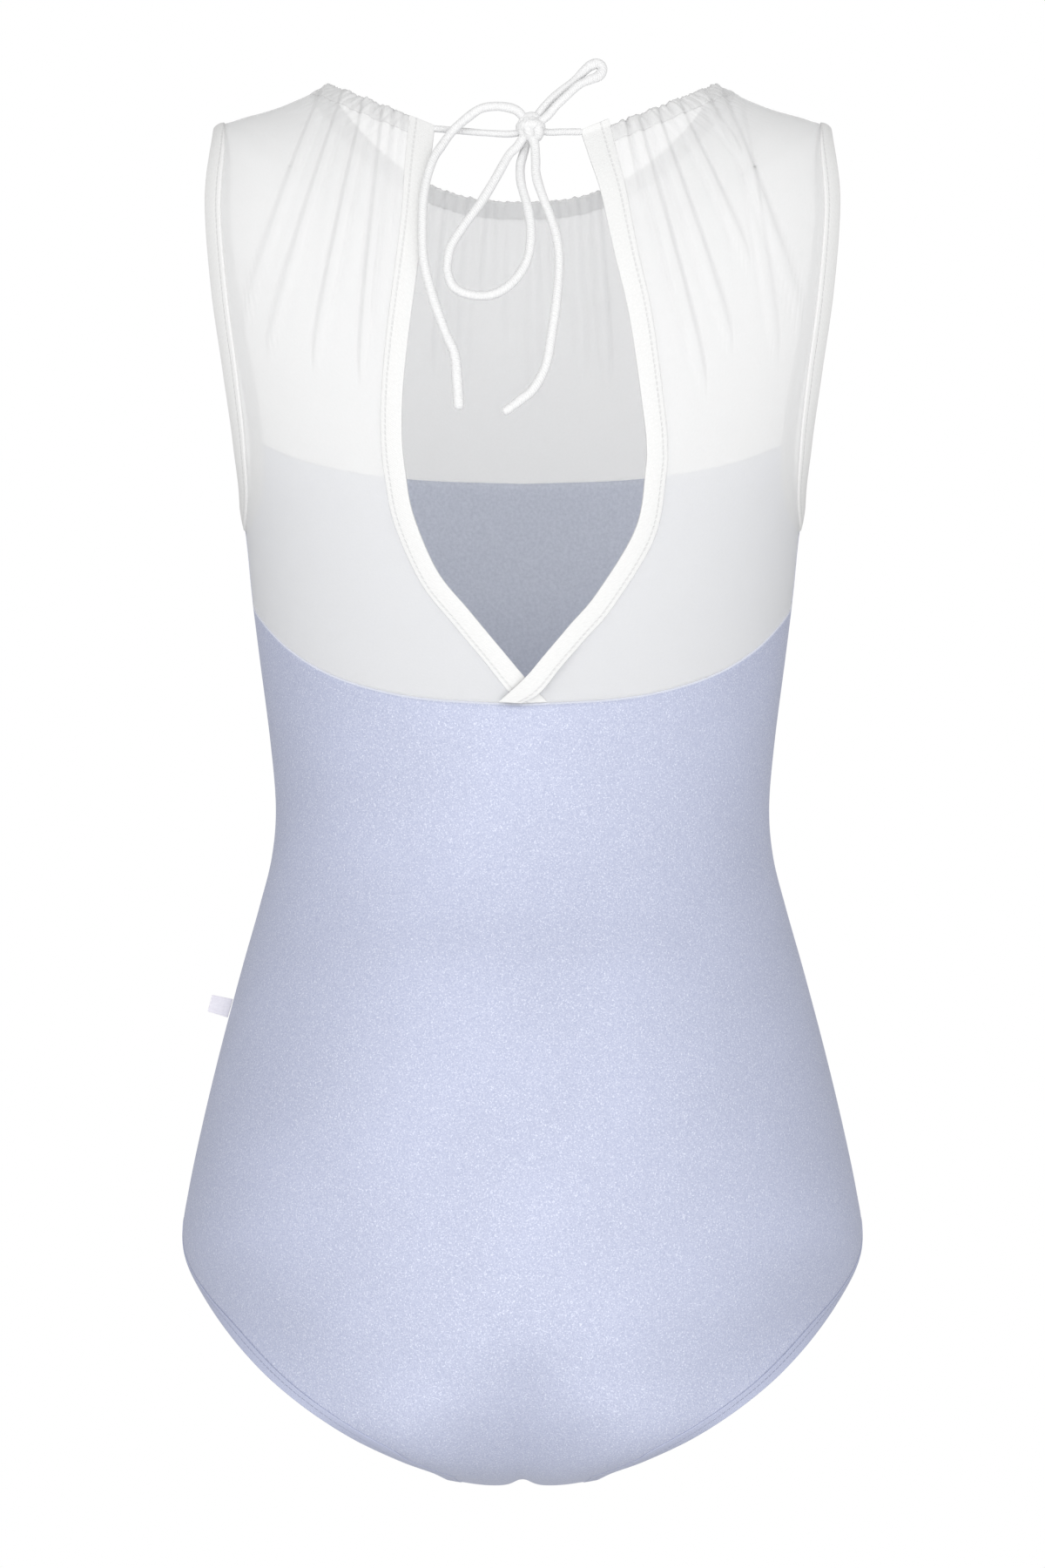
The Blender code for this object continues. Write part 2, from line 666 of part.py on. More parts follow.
def yoke_place(face, row, part, share, gathers, top_row):
    """A point of the mesh with its gathers, which flatten out at the panel's sides."""
    near_side = min(1 - abs(part), abs(part) if face == "back" else 1.0)
    fade = min(near_side / GATHER_EDGE_FADE, 1.0)
    height = gather_height(gathers, top_row, part, row) * fade
    return raised(face, row, share, height)


# Mesh front: from the neck casing down to the front velvet.
def yoke_front_places():
    parts = np.linspace(-1, 1, FRONT_YOKE_COLUMNS + 1)
    top_row = CASING_ROWS + GAP_ROWS
    shoulder = ARMHOLE_SEAM[0]
    ends = [front_seam_row(part) - GAP_ROWS / 2 for part in parts]
    gathers = front_gathers()
    places = []
    for step in SHOULDER_STEPS:
        row = top_row + (shoulder - top_row) * step
        places.append(
            [yoke_place("front", row, part, part * SIDE_SEAM, gathers, top_row) for part in parts]
        )
    for step in FRONT_ARMHOLE_STEPS:
        share = armhole_share("front", shoulder + (ends[-1] - shoulder) * step)
        line = []
        for part, end in zip(parts, ends):
            row = shoulder + (end - shoulder) * step
            line.append(yoke_place("front", row, part, part * share, gathers, top_row))
        places.append(line)
    return places


cloth("yoke_front", yoke_front_places(), MESH_WALL, mesh_white)


# Mesh back halves: from the neck casing down to the back velvet, either side of the open back.
def yoke_back_rows():
    """Each row at the side edge, with its share of the way down to the seam below the underarm."""
    top_row = CASING_ROWS + GAP_ROWS
    shoulder, underarm = ARMHOLE_SEAM[:2]
    rows = [(top_row + (shoulder - top_row) * step, 0.0) for step in SHOULDER_STEPS]
    rows += [(shoulder + (underarm - shoulder) * step, 0.0) for step in BACK_ARMHOLE_STEPS]
    rows += [(underarm, step) for step in BACK_UNDERARM_STEPS]
    return rows


def yoke_back_places(side, gathers):
    parts = np.linspace(0, 1, BACK_YOKE_COLUMNS + 1)
    top_row = CASING_ROWS + GAP_ROWS
    places = []
    for row, below in yoke_back_rows():
        outer = armhole_share("back", row)
        line = []
        for part in parts:
            share = outer * part + yoke_inner_share(side, row) * (1 - part)
            here = row
            if below:
                for _ in range(6):
                    end = back_seam_row(share) - GAP_ROWS / 2
                    here = row + (end - row) * below
                    share = outer * part + yoke_inner_share(side, here) * (1 - part)
            line.append(yoke_place("back", here, part, side * share, gathers, top_row))
        places.append(line)
    return places


cloth("yoke_back_left", yoke_back_places(1, GATHERS_BACK_LEFT), MESH_WALL, mesh_white)
cloth("yoke_back_right", yoke_back_places(-1, GATHERS_BACK_RIGHT), MESH_WALL, mesh_white)


# Neck casing: a folded tunnel for the drawstring along the top of each mesh panel.
CASING_COLUMNS = 36
CASING_END_GAP = 0.006


def casing_places(side):
    """Three rows of points down the tunnel: the whole front for side 0, or one half of the back."""
    places = []
    for row in (0.0, CASING_ROWS / 2, CASING_ROWS):
        if side == 0:
            shares = np.linspace(-SIDE_SEAM, SIDE_SEAM, CASING_COLUMNS + 1)
            places.append([form("front", row, share) for share in shares])
        else:
            inner = yoke_inner_share(side, row) + CASING_END_GAP
            shares = np.linspace(inner, SIDE_SEAM, CASING_COLUMNS // 3 + 1)
            places.append([form("back", row, side * share) for share in shares])
    return places


cloth("neck_casing_front", casing_places(0), CASING_WALL, binding_white)
cloth("neck_casing_back_left", casing_places(1), CASING_WALL, binding_white)
cloth("neck_casing_back_right", casing_places(-1), CASING_WALL, binding_white)


# Keyhole bindings: folded strips along the open back, from the neck to the velvet, crossed at the bottom.
def keyhole_places(side):
    lines = KEYHOLE[side]
    wanted = [0.0, CASING_ROWS]
    wanted += [row for row, below in yoke_back_rows() if not below]
    last_row = lines[-1][5]
    start = wanted[-1]
    wanted += [start + (last_row - start) * step for step in BACK_UNDERARM_STEPS]
    places = []
    for row in wanted:
        position = float(np.interp(row, lines[:, 5], np.arange(len(lines))))
        first = min(int(position), len(lines) - 2)
        line = lines[first] + (lines[first + 1] - lines[first]) * (position - first)
        edge_x, edge_z, seam_x, seam_z, lift = line[:5]
        width = math.hypot(edge_x - seam_x, edge_z - seam_z)
        band = []
        for part in np.linspace(0, 1, BINDING_COLUMNS + 1):
            inset = part * (1 - SEAM_GAP / width)
            x = edge_x + (seam_x - edge_x) * inset
            z = edge_z + (seam_z - edge_z) * inset
            spot = spot_on_back(x, z)
            point = raised("back", *spot, lift)
            band.append(np.array((x, point[1], z)))
        places.append(band)
    return places


cloth("keyhole_binding_left", keyhole_places(1), BINDING_WALL, binding_white)
cloth("keyhole_binding_right", keyhole_places(-1), BINDING_WALL, binding_white)


# Armhole bindings: closed bands round each armhole, beside the edges of the panels they bind.
def armhole_places(side):
    underarm = ARMHOLE_SEAM[1]
    shoulder = ARMHOLE_SEAM[0]
    back_rows = [row for row, below in yoke_back_rows() if row >= shoulder and not below]
    seam_end = front_seam_row(1.0)
    front_rows = [shoulder + (seam_end - shoulder) * step for step in (0.0, *FRONT_ARMHOLE_STEPS)]
    front_rows += [seam_end + (underarm - seam_end) * step for step in FRONT_UNDERARM_STEPS[1:]]
    circuit = [("back", row) for row in back_rows] + [("front", row) for row in reversed(front_rows[:-1])]
    edge_top, edge_bottom = ARMHOLE_EDGE[:2]
    places = []
    for face, row in circuit:
        seam_share = oval(ARMHOLE_SEAM, face, row)
        down = (row - shoulder) / (underarm - shoulder)
        edge_row = edge_top + (edge_bottom - edge_top) * down
        seam = form(face, row, seam_share)
        edge = form(face, edge_row, oval(ARMHOLE_EDGE, face, edge_row))
        width = np.linalg.norm(seam - edge)
        band = []
        for part in np.linspace(0, 1, BINDING_COLUMNS + 1):
            inset = part * (1 - SEAM_GAP / width)
            between_row = edge_row + (row - edge_row) * inset
            edge_share = oval(ARMHOLE_EDGE, face, edge_row)
            point = form(face, between_row, edge_share + (seam_share - edge_share) * inset)
            point[0] *= side
            band.append(point)
        places.append(band)
    places.append(places[0])
    return places


cloth("armhole_binding_left", armhole_places(1), BINDING_WALL, binding_white, closed=True)
cloth("armhole_binding_right", armhole_places(-1), BINDING_WALL, binding_white, closed=True)


# Leg hems: the velvet's turned and stitched edge, a closed band round each leg opening.
def leg_hem_places(side):
    rows = (LEG_TOP_ROW, *LEG_ROWS[:-1], 29.0)
    circuit = [("back", row) for row in rows] + [("front", row) for row in reversed(rows[1:-1])]
    places = []
    for face, row in circuit:
        edge_row = min(leg_edge_row(row), 29.0)
        share = leg_share(face, row)
        edge = form(face, edge_row, 1)
        seam = form(face, row, share)
        width = np.linalg.norm(seam - edge)
        band = []
        for part in np.linspace(0, 1 - HEM_GAP / width, BINDING_COLUMNS + 1):
            point = form(face, edge_row + (row - edge_row) * part, 1 + (share - 1) * part)
            point[0] *= side
            band.append(point)
        places.append(band)
    places.append(places[0])
    return places


cloth("leg_hem_left", leg_hem_places(1), HEM_WALL, velvet, closed=True)
cloth("leg_hem_right", leg_hem_places(-1), HEM_WALL, velvet, closed=True)

# Side tag: a small bare tab standing out square from the left side seam.
tag_places = [[np.array((x, 0.0, z)) for x, z in TAG_CORNERS[:2]], [np.array((x, 0.0, z)) for x, z in TAG_CORNERS[2:]]]
cloth("side_tag", tag_places, TAG_WALL, tag_white)

# Drawstring: a span from each side of the opening to the knot, two loops and two free ends.
cord("tie_span_left", behind_back(SPAN_LEFT_ROUTE), SPAN_DIAMETER, cord_white)
cord("tie_span_right", behind_back(SPAN_RIGHT_ROUTE), SPAN_DIAMETER, cord_white)
cord("tie_end_left", behind_back(END_LEFT_ROUTE), CORD_DIAMETER, cord_white)
cord("tie_end_right", behind_back(END_RIGHT_ROUTE), CORD_DIAMETER, cord_white)
cord("tie_loop_low", behind_back(LOOP_LOW_ROUTE), CORD_DIAMETER, cord_white)
cord("tie_loop_high", behind_back(LOOP_HIGH_ROUTE), CORD_DIAMETER, cord_white)

# Knot: a rounded lump of wrapped cord at the middle of the bow.
knot_mesh = bpy.data.meshes.new("tie_knot")
knot_shape = bmesh.new()
bmesh.ops.create_uvsphere(knot_shape, u_segments=20, v_segments=12, radius=0.5)
bmesh.ops.scale(knot_shape, vec=[size * MM for size in KNOT_SIZE], verts=knot_shape.verts)
knot_shape.to_mesh(knot_mesh)
knot_shape.free()
knot_mesh.shade_smooth()
knot = add(knot_mesh, "tie_knot", cord_white)
knot.location = [value * MM for value in KNOT_AT]
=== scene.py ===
"""A sleeveless dance leotard seen from the back, filled out as if worn but with nobody in it.

The front faces -Y, the back faces +Y and the wearer's left is +X. Tables are in millimetres.
"""

import math

import bmesh
import bpy
import numpy as np
from mathutils import Matrix


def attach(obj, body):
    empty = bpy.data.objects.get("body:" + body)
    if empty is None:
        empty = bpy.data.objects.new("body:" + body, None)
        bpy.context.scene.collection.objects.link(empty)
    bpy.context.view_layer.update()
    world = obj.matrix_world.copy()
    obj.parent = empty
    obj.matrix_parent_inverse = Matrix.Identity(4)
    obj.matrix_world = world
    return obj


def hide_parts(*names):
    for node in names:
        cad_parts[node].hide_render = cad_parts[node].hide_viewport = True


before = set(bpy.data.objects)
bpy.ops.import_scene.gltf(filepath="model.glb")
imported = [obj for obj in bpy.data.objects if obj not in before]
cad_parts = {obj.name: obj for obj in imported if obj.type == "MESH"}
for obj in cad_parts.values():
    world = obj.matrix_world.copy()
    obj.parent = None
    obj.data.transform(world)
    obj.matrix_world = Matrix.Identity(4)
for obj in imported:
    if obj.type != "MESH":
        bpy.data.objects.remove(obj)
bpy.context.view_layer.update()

MM = 0.001

# The camera stands squarely behind the back, level with the middle of the garment, and looks through a
# long lens, so the sides hardly converge. The room is white.
CAMERA_DISTANCE = 3.5
CAMERA_HEIGHT = -0.3196
camera_data = bpy.data.cameras.new("camera")
camera_data.sensor_width = 36
camera_data.lens = 175
camera = bpy.data.objects.new("camera", camera_data)
camera.location = (0, CAMERA_DISTANCE, CAMERA_HEIGHT)
camera.rotation_euler = (math.radians(90), 0, math.radians(180))
bpy.context.scene.collection.objects.link(camera)
bpy.context.scene.camera = camera
bpy.context.scene.view_settings.view_transform = "Standard"

# Drawstring: one soft white knitted cord that comes out of the neck casing at both sides of the open
# back and is tied in a bow there. Its two ends and the lower loop hang against the back, and the upper
# loop stands up from the knot. It follows the worn form, whose rows come first.
HIP_ROW = 19
ROUNDNESS = 2.2

# side_x, side_z, back_y, back_z, back_sweep, front_y, front_z, front_sweep
TORSO = (
    (89.0, 0.0, 66.0, -34.0, 1.35, 72.0, -47.0, 2.5),
    (112.0, -9.8, 77.0, -54.0, 1.5, 82.0, -69.0, 2.3),
    (131.0, -15.4, 85.0, -76.0, 1.6, 90.0, -90.0, 2.1),
    (143.0, -21.5, 91.0, -98.0, 1.7, 97.0, -111.0, 2.0),
    (154.7, -45.0, 95.0, -121.0, 1.9, 103.0, -133.0, 2.0),
    (155.6, -85.0, 98.0, -145.0, 2.0, 107.0, -155.0, 2.0),
    (149.2, -125.0, 98.0, -169.0, 2.0, 109.0, -177.0, 2.0),
    (139.2, -162.0, 97.0, -193.0, 2.0, 109.0, -199.0, 2.0),
    (128.4, -195.0, 94.0, -217.0, 2.0, 106.0, -220.0, 2.0),
    (123.7, -234.0, 91.0, -240.0, 2.0, 101.0, -241.0, 2.0),
    (120.2, -262.0, 87.0, -263.0, 2.0, 97.0, -263.0, 2.0),
    (115.3, -300.0, 83.0, -300.0, 2.0, 92.0, -300.0, 2.0),
    (112.8, -330.0, 82.0, -330.0, 2.0, 89.0, -330.0, 2.0),
    (114.6, -353.0, 84.0, -353.0, 2.0, 88.0, -353.0, 2.0),
    (120.3, -376.0, 90.0, -376.0, 2.0, 89.0, -376.0, 2.0),
    (128.5, -405.0, 100.0, -405.0, 2.0, 91.0, -405.0, 2.0),
    (137.8, -440.0, 108.0, -440.0, 2.0, 92.0, -440.0, 2.0),
    (145.8, -473.0, 112.0, -473.0, 2.0, 92.0, -473.0, 2.0),
    (152.2, -503.0, 113.0, -503.0, 2.0, 91.0, -503.0, 2.0),
    (155.3, -524.0, 111.0, -522.0, 2.0, 88.0, -522.0, 2.0),
)
# leg_x, leg_y, leg_z, centre_y, centre_z, lobe_y, lobe_z, arc
SEAT = (
    (153.2, 11.0, -538.0, 109.0, -546.0, 2.0, 0.0, 0.25),
    (144.5, 29.0, -553.0, 105.0, -567.0, 5.0, 0.5, 0.5),
    (131.0, 53.0, -570.0, 98.0, -586.0, 8.0, 1.0, 0.8),
    (115.0, 71.0, -586.0, 90.0, -602.0, 11.0, 2.0, 1.0),
    (97.0, 82.0, -599.7, 80.0, -615.0, 12.0, 3.0, 1.0),
    (77.0, 84.0, -612.0, 68.0, -625.5, 11.0, 2.0, 1.0),
    (56.0, 75.0, -622.8, 52.0, -632.5, 8.0, 1.0, 1.0),
    (41.0, 59.0, -629.8, 34.0, -636.2, 5.0, 0.6, 1.0),
    (34.5, 32.0, -635.4, 16.0, -638.6, 2.0, 0.8, 1.0),
    (33.0, 0.0, -638.4, 0.0, -640.4, 0.0, 1.2, 1.0),
)
BELLY = (
    (150.0, 16.0, -533.0, 86.0, -543.0, 1.0, 0.0, 0.15),
    (138.0, 34.0, -543.5, 83.0, -562.0, 2.0, 0.0, 0.35),
    (121.0, 48.0, -557.0, 78.0, -580.0, 3.0, 0.0, 0.6),
    (102.0, 57.0, -571.0, 71.0, -596.0, 4.0, 1.0, 0.85),
    (83.0, 60.0, -586.0, 62.0, -610.0, 4.0, 1.0, 1.0),
    (65.0, 56.0, -601.0, 51.0, -622.0, 4.0, 1.5, 1.0),
    (50.0, 46.0, -614.5, 38.0, -630.5, 3.0, 1.5, 1.0),
    (39.0, 32.0, -625.5, 25.0, -636.0, 2.0, 1.5, 1.0),
    (34.0, 15.0, -634.0, 12.0, -639.3, 1.0, 1.2, 1.0),
    (33.0, 0.0, -638.4, 0.0, -640.4, 0.0, 1.2, 1.0),
)


def smooth_rows(table, position):
    """Smooth values between the rows of a table, at positions that may be fractions."""
    table = np.asarray(table, dtype=float)
    position = np.clip(np.asarray(position, dtype=float), 0.0, len(table) - 1.0)
    first = np.minimum(position.astype(int), len(table) - 2)
    share = (position - first)[..., None]
    padded = np.vstack([2 * table[0] - table[1], table, 2 * table[-1] - table[-2]])
    before, start, end, after = (padded[first + step] for step in range(4))
    return 0.5 * (
        2 * start
        + (end - before) * share
        + (2 * before - 5 * start + 4 * end - after) * share**2
        + (3 * start - before - 3 * end + after) * share**3
    )


def form_rows(face):
    """All the rows of one face, from the neckline to the crotch."""
    rows = []
    for side_x, side_z, back_y, back_z, back_sweep, front_y, front_z, front_sweep in TORSO:
        centre = (back_y, back_z, back_sweep) if face == "back" else (front_y, front_z, front_sweep)
        rows.append((side_x, 0.0, side_z, *centre, 0.0, 0.0, 0.0))
    for leg_x, leg_y, leg_z, mid_y, mid_z, lobe_y, lobe_z, arc in SEAT if face == "back" else BELLY:
        rows.append((leg_x, leg_y, leg_z, mid_y, mid_z, 2.0, lobe_y, lobe_z, arc))
    return np.array(rows)


ROWS = {"back": form_rows("back"), "front": form_rows("front")}


def form(face, row, share):
    """Points of the worn form: row counts down from the neckline, share runs out from the centre line."""
    row, share = np.broadcast_arrays(np.asarray(row, dtype=float), np.asarray(share, dtype=float))
    side_x, side_y, side_z, mid_y, mid_z, sweep, lobe_y, lobe_z, arc = np.moveaxis(
        smooth_rows(ROWS[face], row), -1, 0
    )
    below_hip = np.where(row > HIP_ROW, 1.0, 0.0)
    part = np.minimum(np.abs(share), 1.0)
    arc = arc * below_hip
    width = (1 - arc) * np.sin(part * math.pi / 2) ** (2 / ROUNDNESS) + arc * part
    hollow = np.maximum(0.0, 1 - width**ROUNDNESS) ** (1 / ROUNDNESS + arc * (1 - 1 / ROUNDNESS))
    swell = np.sin(math.pi * width) * below_hip
    side_y = side_y * below_hip
    y = side_y + (mid_y - side_y) * hollow + lobe_y * swell
    z = side_z + (mid_z - side_z) * (1 - width**sweep) - lobe_z * swell
    return np.stack([np.copysign(side_x * width, share), y if face == "back" else -y, z], axis=-1)


def outward(face, row, share):
    """The worn form's outward directions."""
    step = 0.01
    down = form(face, np.minimum(row + step, 29.0), share) - form(face, np.maximum(row - step, 0.0), share)
    over = form(face, row, share + step) - form(face, row, share - step)
    normal = np.cross(down, over) if face == "front" else np.cross(over, down)
    return normal / np.linalg.norm(normal, axis=-1, keepdims=True)


def spot_on_back(x, z):
    """The rows and shares of the back's points with these x and z, above the hip."""
    x, z = np.broadcast_arrays(np.asarray(x, dtype=float), np.asarray(z, dtype=float))
    low, high = np.zeros(x.shape), np.full(x.shape, float(HIP_ROW))
    for _ in range(36):
        row = (low + high) / 2
        section = smooth_rows(ROWS["back"], row)
        width = np.minimum(np.abs(x) / section[..., 0], 1.0)
        height = section[..., 2] + (section[..., 4] - section[..., 2]) * (1 - width ** section[..., 5])
        above = height > z
        low, high = np.where(above, row, low), np.where(above, high, row)
    return row, np.copysign(np.arcsin(width ** (ROUNDNESS / 2)) * 2 / math.pi, x)


KNOT_AT = np.array((-3.2, 69.4, -24.2))

# Routes seen from the back: x, z, and how far the cord's centre lies behind the back's surface
SPAN_LEFT_ROUTE = ((39.3, -24.0, 0.0), (28.0, -25.2, 0.6), (16.0, -26.4, 1.4), (4.2, -26.8, 2.0))
SPAN_RIGHT_ROUTE = ((-25.8, -25.6, 0.0), (-18.0, -25.8, 0.8), (-10.6, -26.0, 1.8))
END_LEFT_ROUTE = (
    (0.3, -18.7, 4.6),
    (4.0, -16.0, 5.4),
    (11.0, -14.8, 6.2),
    (18.6, -15.8, 6.6),
    (25.0, -20.0, 6.6),
    (31.2, -25.4, 6.4),
    (36.0, -32.0, 5.4),
    (40.0, -38.6, 5.0),
    (42.8, -47.6, 4.6),
    (44.4, -57.2, 4.6),
    (44.8, -69.6, 4.5),
    (44.2, -85.0, 4.3),
    (40.4, -101.0, 3.8),
    (34.8, -117.0, 3.4),
    (30.4, -127.6, 3.4),
    (29.2, -138.4, 3.4),
    (28.4, -150.8, 3.4),
)
LOOP_LOW_ROUTE = (
    (2.2, -32.7, 6.0),
    (6.2, -37.0, 5.4),
    (12.0, -47.6, 3.8),
    (18.6, -58.8, 3.4),
    (26.0, -69.2, 3.4),
    (31.8, -78.6, 3.4),
    (33.5, -86.0, 3.4),
    (33.4, -91.2, 3.4),
    (30.6, -97.6, 3.4),
    (23.4, -101.0, 3.4),
    (13.6, -101.0, 3.4),
    (4.4, -95.4, 3.4),
    (-2.2, -85.0, 3.4),
    (-3.8, -72.0, 3.4),
    (-2.2, -60.8, 3.4),
    (0.6, -50.0, 2.6),
    (0.9, -41.4, 2.0),
    (-1.2, -33.3, 1.4),
)
END_RIGHT_ROUTE = (
    (-5.4, -31.9, 6.2),
    (-5.9, -38.4, 5.8),
    (-6.2, -46.6, 5.0),
    (-9.0, -56.0, 4.4),
    (-12.8, -66.2, 3.8),
    (-15.4, -75.6, 3.8),
    (-16.4, -86.8, 3.4),
    (-15.2, -103.8, 3.4),
    (-12.8, -120.2, 3.4),
    (-10.4, -133.0, 3.4),
    (-5.0, -143.2, 3.4),
    (1.2, -148.6, 3.4),
    (7.4, -153.2, 3.4),
)
LOOP_HIGH_ROUTE = (
    (-6.6, -19.0, 2.4),
    (-11.8, -12.4, 2.2),
    (-17.6, -7.4, 2.4),
    (-22.6, -3.6, 2.6),
    (-26.8, 0.6, 2.6),
    (-30.4, 3.9, 2.6),
    (-34.0, 5.0, 2.8),
    (-36.0, 2.4, 4.0),
    (-34.2, -0.8, 5.0),
    (-30.2, -2.6, 5.8),
    (-25.2, -5.2, 6.4),
    (-20.6, -9.4, 6.6),
    (-15.4, -14.4, 6.6),
    (-10.6, -19.6, 5.6),
)


def behind_back(route):
    """Route points seen from the back, laid behind the back's surface by each one's lift."""
    x, z, lift = np.array(route).T
    return np.stack([x, form("back", *spot_on_back(x, z))[:, 1] + lift, z], axis=-1)


def node_maker(tree):
    """Adds a shader node, sets its plain values and joins its inputs to other nodes' outputs."""

    def make(kind, settings=None, **inputs):
        node = tree.nodes.new(kind)
        for name, value in (settings or {}).items():
            setattr(node, name, value)
        for name, value in inputs.items():
            key = int(name[1:]) if name[0] == "i" and name[1:].isdigit() else name.replace("_", " ")
            if isinstance(value, bpy.types.NodeSocket):
                tree.links.new(value, node.inputs[key])
            else:
                node.inputs[key].default_value = value
        return node

    return make


def worked(make, operation, *values):
    """One sum on values that change over the surface."""
    places = {f"i{place}": value for place, value in enumerate(values)}
    return make("ShaderNodeMath", {"operation": operation}, **places).outputs[0]


def ranged(make, value, given_range, wanted_range):
    """Brings a value from one range to another and holds it there."""
    (low, high), (to_low, to_high) = given_range, wanted_range
    spread = make(
        "ShaderNodeMapRange", Value=value, From_Min=low, From_Max=high, To_Min=to_low, To_Max=to_high
    )
    return spread.outputs["Result"]


def tinted(make, share, under, over):
    """A colour that goes from one to the other by a share."""
    return make("ShaderNodeMix", {"data_type": "RGBA"}, i0=share, i6=under, i7=over).outputs[2]


def effect_group(name, inputs, outputs):
    """An empty shader node group with named sockets, its node maker and its two ends."""
    group = bpy.data.node_groups.new(name, "ShaderNodeTree")
    for socket, kind in inputs:
        group.interface.new_socket(socket, in_out="INPUT", socket_type=kind)
    for socket, kind in outputs:
        group.interface.new_socket(socket, in_out="OUTPUT", socket_type=kind)
    make = node_maker(group)
    return group, make, make("NodeGroupInput").outputs, make("NodeGroupOutput").inputs


# Fibre: the soft unevenness that every cloth here has, as a tint between two colours and a fine relief
fibre, make, given, out = effect_group(
    "fibre",
    (
        ("Vector", "NodeSocketVector"),
        ("Light", "NodeSocketColor"),
        ("Dark", "NodeSocketColor"),
        ("Scale", "NodeSocketFloat"),
    ),
    (("Colour", "NodeSocketColor"), ("Height", "NodeSocketFloat")),
)
fine = make("ShaderNodeTexNoise", Vector=given["Vector"], Scale=given["Scale"], Detail=3.0, Roughness=0.6)
tone = ranged(make, fine.outputs["Fac"], (0.3, 0.7), (0.0, 1.0))
fibre.links.new(tinted(make, tone, given["Dark"], given["Light"]), out["Colour"])
fibre.links.new(tone, out["Height"])

# Ribs: fine parallel ridges of a knitted or woven band, from one coordinate of its UV map
ribs, make, given, out = effect_group(
    "ribs",
    (("Coordinate", "NodeSocketFloat"), ("Pitch", "NodeSocketFloat")),
    (("Height", "NodeSocketFloat"),),
)
turns = worked(make, "DIVIDE", given["Coordinate"], given["Pitch"])
ribs.links.new(worked(make, "SINE", worked(make, "MULTIPLY", turns, 2 * math.pi)), out["Height"])

# Stitches: a row of short sunk stitches at one distance across a sewn band, along its UV map
stitches, make, given, out = effect_group(
    "stitches",
    (("Across", "NodeSocketFloat"), ("Along", "NodeSocketFloat"), ("At", "NodeSocketFloat")),
    (("Mask", "NodeSocketFloat"),),
)
apart = worked(make, "ABSOLUTE", worked(make, "SUBTRACT", given["Across"], given["At"]))
line = ranged(make, apart, (0.2 * MM, 0.5 * MM), (1.0, 0.0))
step = make("ShaderNodeGroup", {"node_tree": ribs}, Coordinate=given["Along"], Pitch=2.6 * MM)
dash = ranged(make, step.outputs[0], (-0.9, 0.0), (0.25, 1.0))
stitches.links.new(worked(make, "MULTIPLY", line, dash), out["Mask"])


def finish(name, roughness, sheen, specular=0.3):
    """A new material, its node maker and its shader, with the values that are the same all over."""
    material = bpy.data.materials.new(name)
    material.use_nodes = True
    shader = material.node_tree.nodes["Principled BSDF"]
    shader.inputs["Roughness"].default_value = roughness
    shader.inputs["Sheen Weight"].default_value = sheen
    shader.inputs["Sheen Roughness"].default_value = 0.5
    shader.inputs["Specular IOR Level"].default_value = specular
    return material, node_maker(material.node_tree), shader


def relief(make, shader, height, distance):
    """Joins a height to the shader's normal through a Bump node."""
    bump = make("ShaderNodeBump", Height=height, Distance=distance, Strength=1.0)
    shader.id_data.links.new(bump.outputs["Normal"], shader.inputs["Normal"])


def fibres(make, vector, light, dark, scale):
    """The fibre effect placed in a material, between two colours: its tint and its height."""
    colours = {"Light": (*light, 1), "Dark": (*dark, 1)}
    placed = make("ShaderNodeGroup", {"node_tree": fibre}, Vector=vector, Scale=scale, **colours)
    return placed.outputs["Colour"], placed.outputs["Height"]


cord_white, make, shader = finish("knitted cord", 0.75, 0.2)
threads = make("ShaderNodeUVMap", {"uv_map": "cloth"})
parted = make("ShaderNodeSeparateXYZ", Vector=threads.outputs["UV"])
lean = worked(make, "MULTIPLY_ADD", parted.outputs["X"], 0.35, parted.outputs["Y"])
knit = make("ShaderNodeGroup", {"node_tree": ribs}, Coordinate=lean, Pitch=1.1 * MM)
tint, fuzz = fibres(make, threads.outputs["UV"], (0.86, 0.86, 0.86), (0.77, 0.77, 0.775), 900.0)
cord_white.node_tree.links.new(tint, shader.inputs["Base Color"])
relief(make, shader, worked(make, "MULTIPLY_ADD", knit.outputs[0], 0.5, fuzz), 0.12 * MM)


def lay_grid(grid, places, map_across, map_down, drawn=None):
    """A flat grid laid onto rows of points, with distances along and across it in its UV map."""
    rows, columns = len(places) - 1, len(places[0]) - 1
    # An optional mask per point is stored as an attribute: for the net it is painted shade along the
    # gathers, and it also makes the net denser there.
    fold_shade_layer = None if drawn is None else grid.verts.layers.float.new("drawn")
    made = bmesh.ops.create_grid(grid, x_segments=columns, y_segments=rows, size=1.0)["verts"]
    thread_map = grid.loops.layers.uv.get("cloth") or grid.loops.layers.uv.new("cloth")
    spots = {}
    for vert in made:
        spots[vert] = (round((vert.co.y + 1) / 2 * rows), round((vert.co.x + 1) / 2 * columns))
        vert.co = places[spots[vert]] * MM
        if fold_shade_layer:
            vert[fold_shade_layer] = drawn[spots[vert]]
    for face in {face for vert in made for face in vert.link_faces}:
        for loop in face.loops:
            spot = spots[loop.vert]
            loop[thread_map].uv = (map_across[spot] * MM, map_down[spot] * MM)
    return made


